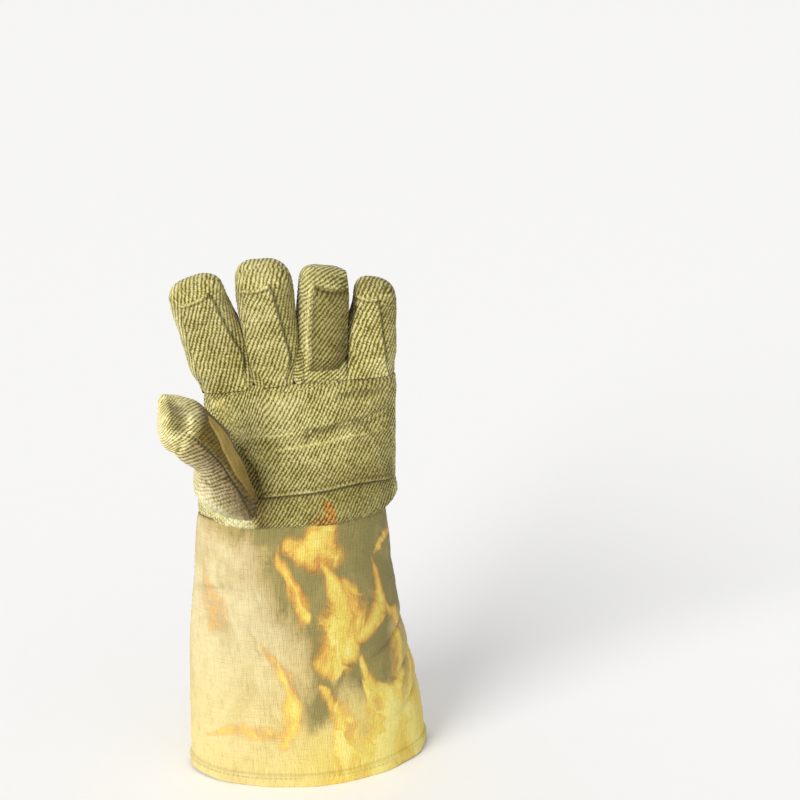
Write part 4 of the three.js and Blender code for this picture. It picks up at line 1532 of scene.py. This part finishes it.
def finger_panel(name, seed, sizes, start, end):
    """The front or the back of a finger, from the knuckle seam to its tip."""
    length = FINGERS[name][3]
    shares = finger_shares(name, 1.0, int((length + 12) / sizes.spacing))
    angles = even_angles(gaps_over(FINGER_ROUND, sizes.spacing), start, end)
    base = finger_points(name, shares, angles)
    out = facing(base)
    out[-1] = finger_line(name, 1.0)[3]
    middle = base.shape[1] // 2
    around = from_middle(base)
    up = lengths(base, 0)[:, middle:middle + 1] + 0 * around
    degrees = np.degrees(angles) + 0 * shares
    is_front = end <= 0
    pitch = 1.12 * sizes.twill_pitch
    cloth = finger_cloth(name, seed, pitch, base, shares, around, is_front)
    even = even_ribs(base, cloth, pitch)

    height, painted_shade = seam(shares * length, around, depth=0.6, width=1.4, pitch=5.0, dark=0.18)
    radius = (TUBE_RADIUS - 1) * (1 - 0.98 * step(0.86, 1.0, shares))
    fade = 1 - step(0.9, 0.99, shares)
    for side in SIDES:
        gap = round_tube(degrees - side, radius)
        side_seam, dark = seam(gap, up, depth=0.8, width=1.2, pitch=4.0, pucker=0.2)
        height, painted_shade = height + fade * side_seam, painted_shade + fade * dark * 0.8
    ridge = shaded = 0 * around
    if is_front:
        bed, dark, ridge, shaded = strip_bed(name, seed, base, shares, around, degrees)
        height, painted_shade = height + bed, painted_shade + dark
    height = height + finger_swell(seed, sizes, base) * step(0, 6, up)
    height = height + sizes.twill_height * rib_height(cloth) * (1 - step(0.96, 1.0, shares)) * even
    height = height * (1 - step(0.985, 1.0, shares))
    # A painted highlight on the ring's left ridge, painted shade in the seams and grooves, and painted shade
    # on the side right of the strip.
    tint = shade(around.shape, painted_shade, (1.22, 1.2, 1.3), ridge)
    darken(tint, shaded, 0.9, 1.0, 1.4)
    points = between_walls(name, base + out * height[..., None])
    return points, cloth, tint, np.maximum(0.8 * (1 - even), 0.6 * ridge)


def make_finger(context, name, seed):
    """A finger's front and back with their lining, closed at the tip."""
    def lining(columns, start, end):
        shares = finger_shares(name, LINING_TOP, 18)
        return between_walls(name, finger_points(name, shares, even_angles(columns, start, end), -HAND_WALL))

    mesh = cloth_tube(partial(finger_panel, name, seed, context.scene.glove_cloth), lining, True)
    made = mesh.make(f"{name}_finger_cloth", [hand_twill(context), lining_felt(context)])
    settle(made, "hand_twill", f"{name}_finger")


def strip_points(name, rows, columns):
    """Points of a finger under its strip."""
    over = np.linspace(0, 1, columns + 1)[None, :]
    foot, top = strip_ends(name, over)
    share = foot + (top - foot) * np.linspace(0, 1, rows + 1)[:, None]
    left, right = strip_edges(name, share)
    return finger_points(name, share, np.radians(left * (1 - over) + right * over))


def make_strip(context, name, seed):
    """The strip of twill up the front of a finger."""
    sizes = context.scene.glove_cloth
    rise, _, right_ridge = STRIPS[name][4:]
    is_ring = name == "ring"
    spacing = sizes.spacing * (0.66 if is_ring else 0.85)
    rows, columns = gaps_over(FINGERS[name][3] * 0.92, spacing), gaps_over(STRIP_WIDTH, spacing)
    base = strip_points(name, rows, columns)
    foot, top, left, right = edge_distances(base)
    cloth = laid_cloth(base, columns // 2, STRIP_RIBS[name], 1.1 * sizes.twill_pitch, 2.0 * seed)

    sides = np.minimum(left, right)
    edge = np.minimum(sides, np.minimum(foot + 1.6, top))
    height = -0.8 + (0.8 + rise) * step(0, 1.5, edge) + right_ridge * bump(right - 1.5, 1.1)
    lip = bump(top - 1.2, 0.95)
    height = height + (1.3 + max(0.0, 0.5 - rise)) * lip - 0.5 * bump(top - 3.3, 1.1)
    # Painted shade in the groove under the lip and along the sides.
    painted_shade = 0.5 * bump(top - 3.1, 0.9) + 0.4 * (1 - step(0, 1.0, sides))
    # Painted shade over the strip, and on the ring's recessed strip more painted shade near its edges and
    # foot.
    wear_and_painted_shade = STRIP_SHADE[name] + 0 * foot
    if is_ring:
        painted_shade = painted_shade + 0.22 * bump(left - 1.5, 2.0) + 0.2 * bump(top - 4, 3)
        painted_shade = painted_shade + 0.25 * (1 - step(0, 9, foot))
        painted_shade = painted_shade + 0.25 * (1 - step(2, 14, right)) * (1 - step(10, 44, foot))
        wear_and_painted_shade = wear_and_painted_shade + 0.14 * (1 - step(2, 16, right))
    height = height + finger_swell(seed, sizes, base) * step(0, 6, foot + 2)
    height = height + 1.1 * sizes.twill_height * step(0.4, 2.2, edge) * (1 - 0.7 * lip) * rib_height(cloth)
    # A painted highlight on the lip.
    tint = shade(foot.shape, painted_shade, (1.08, 1.04, 1.1), lip)
    darken(tint, wear_and_painted_shade, 0.95, 1.0, 1.22)
    mesh = ClothMesh()
    points = between_walls(name, base + facing(base) * height[..., None])
    outer = mesh.grid(points, cloth, tint, 0.8 * lip)
    inner = strip_points(name, rows // COARSE, columns // COARSE)
    add_back(mesh, outer, between_walls(name, inner - facing(inner) * 1.2))
    settle(mesh.make(f"{name}_strip_cloth", [hand_twill(context)]), "palm_twill", f"{name}_strip")


def make_gussets(context):
    """The ends of the pieces between the fingers, which come out of the crotches as small tongues."""
    sizes = context.scene.glove_cloth
    up = np.linspace(0, 1, 41)[:, None]
    over = np.linspace(-1, 1, 21)[None, :]
    for number, (foot, top, wide, rise, ribs) in enumerate(GUSSETS):
        width = wide * (1 - 0.45 * up) * np.sqrt(np.clip(1 - (1 - np.minimum(up / 0.3, 1)) ** 2, 0.02, 1))
        across = foot[0] + (top[0] - foot[0]) * up + width * over
        height = foot[1] + (top[1] - foot[1]) * up + 0 * over
        middle, depth = hand_top(across)
        front = middle - depth - rise + 1.8 * abs(over) ** 3 + (top[1] - foot[1]) * 0.28 * up**1.6
        base = np.stack(np.broadcast_arrays(across, front, height), -1)
        cloth = laid_cloth(base, over.shape[1] // 2, ribs, sizes.twill_pitch, 30.0 * number)
        # Painted shade towards the gussets' edges and up into the crotches.
        painted_shade = 0.4 * abs(over) ** 4 + 0.35 * up
        relief = sizes.twill_height * rib_height(cloth)
        mesh = ClothMesh()
        outer = mesh.grid(base + facing(base) * relief[..., None], cloth, shade(relief.shape, painted_shade))
        add_back(mesh, outer, base[::COARSE, ::COARSE] + np.array([0, 2.4, 0]))
        settle(mesh.make(f"gusset_{number + 1}", [hand_twill(context)]), "palm_twill")


def thumb_level(points, degrees):
    """How far up a slope the thumb's points lie: its ribs run level with that slope."""
    turn = math.radians(degrees)
    return points @ np.array([-math.sin(turn), 0.45, math.cos(turn)])


def thumb_swell(sizes, base):
    """The unevenness that the thumb and its smooth patch share."""
    return uneven(sizes, base, (1.0, 16, 51), (0.5, 6, 52))


def thumb_angles(columns, shares, start, end):
    """The angles of the points on one side of the thumb, turned with its front seam."""
    angles = even_angles(columns, start - THUMB_TURN, end - THUMB_TURN)
    return angles + np.radians(line_value(THUMB_SEAM, shares) + THUMB_TURN)


def thumb_cloth(sizes, base, shares, beside, is_outer):
    """The UV map of the thumb's twill, whose ribs run level with a slope and bend over its tip."""
    level = thumb_level(base, 42 if is_outer else 48)
    if is_outer:
        level = level - 0.8 * above(-beside - 8, 5)
    ends = thumb_points(np.r_[0.9, shares[:, 0]][:, None], np.radians([[90.0, -90.0]]))
    behind = (base - ends[1:].mean(1)[:, None]) @ unit(ends[0, 0] - ends[0, 1])
    level = level + 0.45 * step(0.9, 0.98, shares) * np.maximum(0, 17 - abs(behind))
    return np.stack([level / sizes.rib_pitch, from_middle(base) + 300 * is_outer], -1)


def thumb_folds(shares, degrees, length):
    """The folds near the thumb's tip, as height and painted shade."""
    height, painted_shade = 0, 0
    about = (degrees + 180) % 360 - 180
    for at, first, last, rise, wide, dark in THUMB_FOLDS:
        inside = step(first - 12, first + 12, about) * (1 - step(last - 12, last + 12, about))
        fold = inside * bump((shares - at) * length, wide)
        height, painted_shade = height + rise * fold, painted_shade + dark * fold
    return height, painted_shade


def thumb_panel(sizes, start, end):
    """One side of the thumb, from inside the palm to its tip and from one of its seams to the other."""
    length = thumb_curve()[1][-1]
    shares = even_shares(thumb_points, THUMB_START, 1.0, int(length / sizes.spacing))
    angles = thumb_angles(gaps_over(THUMB_ROUND, sizes.spacing), shares, start, end)
    base = thumb_points(shares, angles)
    out = facing(base)
    out[-1] = unit(base[-1, 0] - thumb_points(0.97, np.array([0.0, math.pi])).mean(0))
    middle = base.shape[1] // 2
    up = lengths(base, 0)[:, middle:middle + 1] + 0 * base[..., 0]
    is_outer = start < 0
    degrees = np.degrees(angles)
    beside = round_tube(degrees - line_value(THUMB_SEAM, shares))
    cloth = thumb_cloth(sizes, base, shares, beside, is_outer)
    even = even_ribs(base, cloth, sizes.rib_pitch) * even_ribs(base, cloth, 0.75 * sizes.rib_pitch)
    beside = beside * (1 - 0.98 * step(0.88, 1.0, shares))

    fade = 1 - step(0.84, 0.88, shares)
    # The seams' furrows, with painted shade in them.
    height, painted_shade = seam(beside, up, depth=1.6, width=1.2, pucker=0.3, dark=0.75)
    back_seam, dark = seam(TUBE_RADIUS * math.pi - abs(beside), up, depth=0.8)
    height, painted_shade = height * fade + back_seam, painted_shade * fade + dark
    height = height + 0.3 * fade * np.cos(up * math.tau / 5.2) * bump(beside + 4.5, 3.5)
    folds, dark = thumb_folds(shares, degrees, length)
    height, painted_shade = height + folds, painted_shade + dark
    height = height + thumb_swell(sizes, base)
    wear_and_painted_shade = step(0.84, 0.93, shares) * (0.32 + 0.5 * step(-0.6, 0.3, out[..., 1]))
    height = height + sizes.twill_height * 0.85 * rib_height(cloth) * even * (1 - 0.7 * wear_and_painted_shade)
    height = height * (1 - step(0.985, 1.0, shares))

    # The inner side past the seam is darkened with painted shade, and the outer side darkens with painted
    # shade towards the seam.
    shaded = step(-1.0, 2.5, beside) * (1 - step(40, 52, beside)) * fade
    near_seam = step(-26, -2, beside) * (1 - shaded) * fade
    below = below_hem(base) * (1 - step(-4, 0, beside))
    paler = step(0.72, 0.92, shares)[..., None] * np.array([0.34, 0.38, 0.3])
    tint = shade(up.shape, painted_shade + 0.12 * shaded, (1.13, 1.09, 1.5) + paler, 1 - shaded)
    darken(tint, shaded, 0.69, 0.77, 0.92)
    darken(tint, near_seam, 0.62, 0.68, 0.76)
    darken(tint, below, -0.06, -0.12, -0.08)
    rubbed = 0.6 * step(6, 24, -beside) * (1 - step(0.7, 0.85, shares)) * is_outer
    smoothed = np.maximum.reduce([0.75 * below, 0.8 * (1 - even), rubbed, wear_and_painted_shade, 0.35 * shaded])
    return base + out * height[..., None], cloth, tint, smoothed


def make_thumb(context):
    """The thumb's two sides with their lining, closed at the tip."""
    def lining(columns, start, end):
        shares = even_shares(thumb_points, THUMB_START, LINING_TOP, 24)
        return thumb_points(shares, thumb_angles(columns, shares, start, end), -HAND_WALL)

    mesh = cloth_tube(partial(thumb_panel, context.scene.glove_cloth), lining, True)
    settle(mesh.make("thumb_cloth", [hand_twill(context), lining_felt(context)]), "hand_twill", "thumb")


def thumb_patch_points(rows, columns):
    """The shares of the thumb's length that its smooth patch spans, and the patch's points."""
    begin, end = THUMB_PATCH_LEFT[0][0], THUMB_PATCH_LEFT[-1][0]
    over = np.linspace(0, 1, columns + 1)[None, :]
    share = begin + (end - begin) * np.linspace(0, 1, rows + 1)[:, None] + 0 * over
    left = line_value(THUMB_PATCH_LEFT, share)
    return share, thumb_points(share, np.radians(left + (THUMB_PATCH_RIGHT - left) * over))


def make_thumb_patch(context):
    """The smooth piece on the inner side of the thumb."""
    sizes = context.scene.glove_cloth
    columns, rows = [gaps_over(size, sizes.spacing) for size in THUMB_PATCH_SIZE]
    share, base = thumb_patch_points(rows, columns)
    foot, top, left, right = edge_distances(base)
    cloth = laid_cloth(base, columns // 2, 84, sizes.twill_pitch)
    edge = np.minimum(np.minimum(left, right), np.minimum(foot, top))
    height = -1.1 + 1.9 * step(0, 3.0, edge) + 0.4 * bump(right - 2.2, 1.6) + thumb_swell(sizes, base)
    # Painted shade along the edges, in the fold and in the ribs' valleys.
    painted_shade = 0.25 * (1 - step(0, 1.6, edge))
    fold = bump((share - 0.33) * 160 + left * 0.5 - 4, 1.4)
    height, painted_shade = height - 0.9 * fold, painted_shade + 0.35 * fold
    ribs = rib_height(thumb_level(base, 48)[..., None] / sizes.rib_pitch) * (1 - step(0.5, 7, left))
    height = height + sizes.twill_height * ribs
    painted_shade = painted_shade + 0.5 * np.maximum(0, -ribs) + 0.25 * abs(ribs)
    lit = 0.75 * step(0.5, 0.76, share) + 0.3 * bump(right - 2.5, 2.0)
    tint = shade(foot.shape, painted_shade, (1.6, 1.7, 1.8), lit)
    mesh = ClothMesh()
    outer = mesh.grid(base + facing(base) * height[..., None], cloth, tint)
    _, inner = thumb_patch_points(rows // COARSE, columns // COARSE)
    add_back(mesh, outer, inner - facing(inner) * 1.4)
    ochre = material("rubbed_twill", smooth_cloth, tuple(context.scene.glove_colours.ochre), RUBBED)
    settle(mesh.make("thumb_patch_cloth", [ochre]), "palm_twill", "thumb_patch")


# Stitches


def stitch_tree():
    """Geometry nodes that lay stitches of thread end to end along curves."""
    tree = bpy.data.node_groups.new("stitches", "GeometryNodeTree")
    face = tree.interface
    face.new_socket("Geometry", in_out="OUTPUT", socket_type="NodeSocketGeometry")
    face.new_socket("Geometry", in_out="INPUT", socket_type="NodeSocketGeometry")
    for name in ("Pitch", "Length", "Thread"):
        face.new_socket(name, in_out="INPUT", socket_type="NodeSocketFloat")
    face.new_socket("Material", in_out="INPUT", socket_type="NodeSocketMaterial")

    def node(kind, inputs, **settings):
        """A node with its settings, and with values or other nodes' outputs on its inputs."""
        made = tree.nodes.new(kind)
        for name, value in settings.items():
            setattr(made, name, value)
        for name, value in inputs.items():
            if isinstance(value, bpy.types.NodeSocket):
                tree.links.new(value, made.inputs[name])
            else:
                made.inputs[name].default_value = value
        return made.outputs

    given = node("NodeGroupInput", {})
    points = node(
        "GeometryNodeCurveToPoints", {"Curve": given["Geometry"], "Length": given["Pitch"]}, mode="LENGTH")
    bead = node("GeometryNodeMeshUVSphere", {"Segments": 6, "Rings": 5, "Radius": 0.5})
    size = node("ShaderNodeCombineXYZ", {0: given["Thread"], 1: given["Thread"], 2: given["Length"]})
    turned = node("FunctionNodeAlignRotationToVector", {"Vector": points["Tangent"]}, axis="Z")
    laid = node("GeometryNodeInstanceOnPoints", {
        "Points": points["Points"], "Instance": bead["Mesh"],
        "Rotation": turned["Rotation"], "Scale": size[0]})
    real = node("GeometryNodeRealizeInstances", {"Geometry": laid["Instances"]})
    dressed = node("GeometryNodeSetMaterial", {"Geometry": real["Geometry"], "Material": given["Material"]})
    node("NodeGroupOutput", {0: dressed["Geometry"]})
    return tree


def hem_line():
    """The line of the hem's stitches, 1.5 mm off the cuff's outline, in metres."""
    angles = np.radians(np.linspace(-180, 180, 400))[None, :]
    points = cuff_points(HEM_HEIGHT - 1.8 + np.array([-0.5, 0, 0.5])[:, None], angles)
    return in_metres(points[1] + facing(points)[1] * 1.5)


def make_hem_stitches(context):
    """The stitches round the hem, as one plain mesh."""
    sizes = context.scene.glove_cloth
    line = hem_line()
    curve = bpy.data.curves.new("hem_line", "CURVE")
    curve.dimensions = "3D"
    spline = curve.splines.new("POLY")
    spline.points.add(len(line) - 1)
    spline.points.foreach_set("co", np.c_[line, np.ones(len(line))].astype(np.float32).ravel())
    carrier = bpy.data.objects.new("hem_line", curve)
    context.scene.collection.objects.link(carrier)
    modifier = carrier.modifiers.new("stitches", "NODES")
    modifier.node_group = stitch_tree()
    thread = material("thread", plain_cloth, tuple(context.scene.glove_colours.thread), 900.0, 0.0002)
    wanted = {
        "Pitch": sizes.stitch_pitch, "Length": sizes.stitch_length,
        "Thread": sizes.thread, "Material": thread}
    for item in modifier.node_group.interface.items_tree:
        if item.name in wanted and item.in_out == "INPUT":
            modifier[item.identifier] = wanted[item.name]
    mesh = bpy.data.meshes.new_from_object(carrier.evaluated_get(context.evaluated_depsgraph_get()))
    if not mesh.polygons:
        raise ValueError("no stitches were made for the hem")
    bpy.data.objects.remove(carrier)
    mesh.name = "hem_stitches"
    mesh.polygons.foreach_set("use_smooth", np.ones(len(mesh.polygons), bool))
    made = bpy.data.objects.new("hem_stitches", mesh)
    context.scene.collection.objects.link(made)
    settle(made, "cuff_cloth")


# Stage


def make_floor(context):
    """A white floor that reaches far past the camera's view."""
    recipe = Recipe("floor")
    grain = recipe.noise(recipe.objects(), 40.0, 3.0)
    colour = tuple(context.scene.glove_colours.floor)
    body = recipe.mix(grain.between(0.3, 0.7) * 0.03, colour, tuple(part * 0.9 for part in colour))
    mesh = bpy.data.meshes.new("floor")
    corners = [(x * FLOOR_REACH, y * FLOOR_REACH, 0) for x, y in ((-1, -1), (1, -1), (1, 1), (-1, 1))]
    mesh.from_pydata(corners, [], [(0, 1, 2, 3)])
    mesh.materials.append(recipe.finish(body, 0.9, grain, 0.0001))
    floor = bpy.data.objects.new("floor", mesh)
    context.scene.collection.objects.link(floor)


def make_light(context):
    """Even light from all sides and a broad key light from the upper left."""
    scene, stage = context.scene, context.scene.glove_stage
    world = bpy.data.worlds.new("studio")
    world.use_nodes = True
    background = world.node_tree.nodes["Background"]
    background.inputs["Color"].default_value = (1.0, 1.0, 1.0, 1.0)
    background.inputs["Strength"].default_value = stage.sky
    scene.world = world
    scene.view_settings.view_transform = "Standard"

    light = bpy.data.lights.new("key", "SUN")
    light.energy = stage.key_light
    light.angle = math.radians(36)
    light.color = (1.0, 0.985, 0.96)
    lamp = bpy.data.objects.new("key", light)
    lamp.rotation_euler = Vector((-0.72, -0.72, 0.42)).to_track_quat("Z", "Y").to_euler()
    scene.collection.objects.link(lamp)


def make_camera(context):
    """The camera, at the photograph's place and angle."""
    scene, stage = context.scene, context.scene.glove_stage
    data = bpy.data.cameras.new("camera")
    data.lens = stage.lens
    data.sensor_width = 36.0
    data.clip_end = 20.0
    camera = bpy.data.objects.new("camera", data)
    camera.location = stage.camera_place
    flat = math.cos(stage.elevation)
    back = Vector((
        math.sin(stage.azimuth) * flat, -math.cos(stage.azimuth) * flat, math.sin(stage.elevation)))
    camera.rotation_euler = back.to_track_quat("Z", "Y").to_euler()
    scene.collection.objects.link(camera)
    scene.camera = camera


# Operators


class GLOVE_OT_cuff(bpy.types.Operator):
    """Makes the flared cuff of printed plain cloth, with its hem"""

    bl_idname = "glove.cuff"
    bl_label = "Cuff"

    def execute(self, context):
        make_cuff(context)
        return {"FINISHED"}


class GLOVE_OT_hand(bpy.types.Operator):
    """Makes the hand's front and back of twill, lined with felt"""

    bl_idname = "glove.hand"
    bl_label = "Hand"

    def execute(self, context):
        make_hand(context)
        return {"FINISHED"}


class GLOVE_OT_palm_patch(bpy.types.Operator):
    """Makes the second layer of twill on the palm"""

    bl_idname = "glove.palm_patch"
    bl_label = "Palm Patch"

    def execute(self, context):
        make_palm_patch(context)
        return {"FINISHED"}


class GLOVE_OT_fingers(bpy.types.Operator):
    """Makes the four fingers"""

    bl_idname = "glove.fingers"
    bl_label = "Fingers"

    def execute(self, context):
        for name, seed in SEEDS.items():
            make_finger(context, name, seed)
        return {"FINISHED"}


class GLOVE_OT_strips(bpy.types.Operator):
    """Makes the strip of twill up the front of each finger and the gussets' ends between the fingers"""

    bl_idname = "glove.strips"
    bl_label = "Finger Strips"

    def execute(self, context):
        for name, seed in SEEDS.items():
            make_strip(context, name, seed)
        make_gussets(context)
        return {"FINISHED"}


class GLOVE_OT_thumb(bpy.types.Operator):
    """Makes the thumb and the smooth patch on its inner side"""

    bl_idname = "glove.thumb"
    bl_label = "Thumb"

    def execute(self, context):
        make_thumb(context)
        make_thumb_patch(context)
        return {"FINISHED"}


class GLOVE_OT_stitching(bpy.types.Operator):
    """Sews round the hem"""

    bl_idname = "glove.stitching"
    bl_label = "Stitching"

    def execute(self, context):
        make_hem_stitches(context)
        return {"FINISHED"}


class GLOVE_OT_stage(bpy.types.Operator):
    """Makes the floor, the light and the camera"""

    bl_idname = "glove.stage"
    bl_label = "Stage"

    def execute(self, context):
        make_floor(context)
        make_light(context)
        make_camera(context)
        return {"FINISHED"}


OPERATORS = (
    GLOVE_OT_cuff, GLOVE_OT_hand, GLOVE_OT_palm_patch, GLOVE_OT_fingers, GLOVE_OT_strips, GLOVE_OT_thumb,
    GLOVE_OT_stitching, GLOVE_OT_stage,
)


class GLOVE_PT_pieces(bpy.types.Panel):
    """Lists the glove's pieces"""

    bl_idname = "GLOVE_PT_pieces"
    bl_label = "Foundry Glove"
    bl_space_type = "VIEW_3D"
    bl_region_type = "UI"
    bl_category = "Glove"

    def draw(self, context):
        for operator in OPERATORS:
            self.layout.operator(operator.bl_idname)
        for group in (context.scene.glove_cloth, context.scene.glove_colours, context.scene.glove_stage):
            box = self.layout.box()
            for name in group.bl_rna.properties.keys():
                if name not in ("rna_type", "name"):
                    box.prop(group, name)


GROUPS = {"glove_cloth": GloveCloth, "glove_colours": GloveColours, "glove_stage": GloveStage}


def register():
    for made in (*GROUPS.values(), *OPERATORS, GLOVE_PT_pieces):
        bpy.utils.register_class(made)
    for name, group in GROUPS.items():
        setattr(bpy.types.Scene, name, bpy.props.PointerProperty(type=group))


def unregister():
    for name in GROUPS:
        delattr(bpy.types.Scene, name)
    for made in (GLOVE_PT_pieces, *OPERATORS, *GROUPS.values()):
        bpy.utils.unregister_class(made)


def main():
    register()
    for operator in OPERATORS:
        family, name = operator.bl_idname.split(".")
        getattr(getattr(bpy.ops, family), name)()


if __name__ == "__main__":
    main()
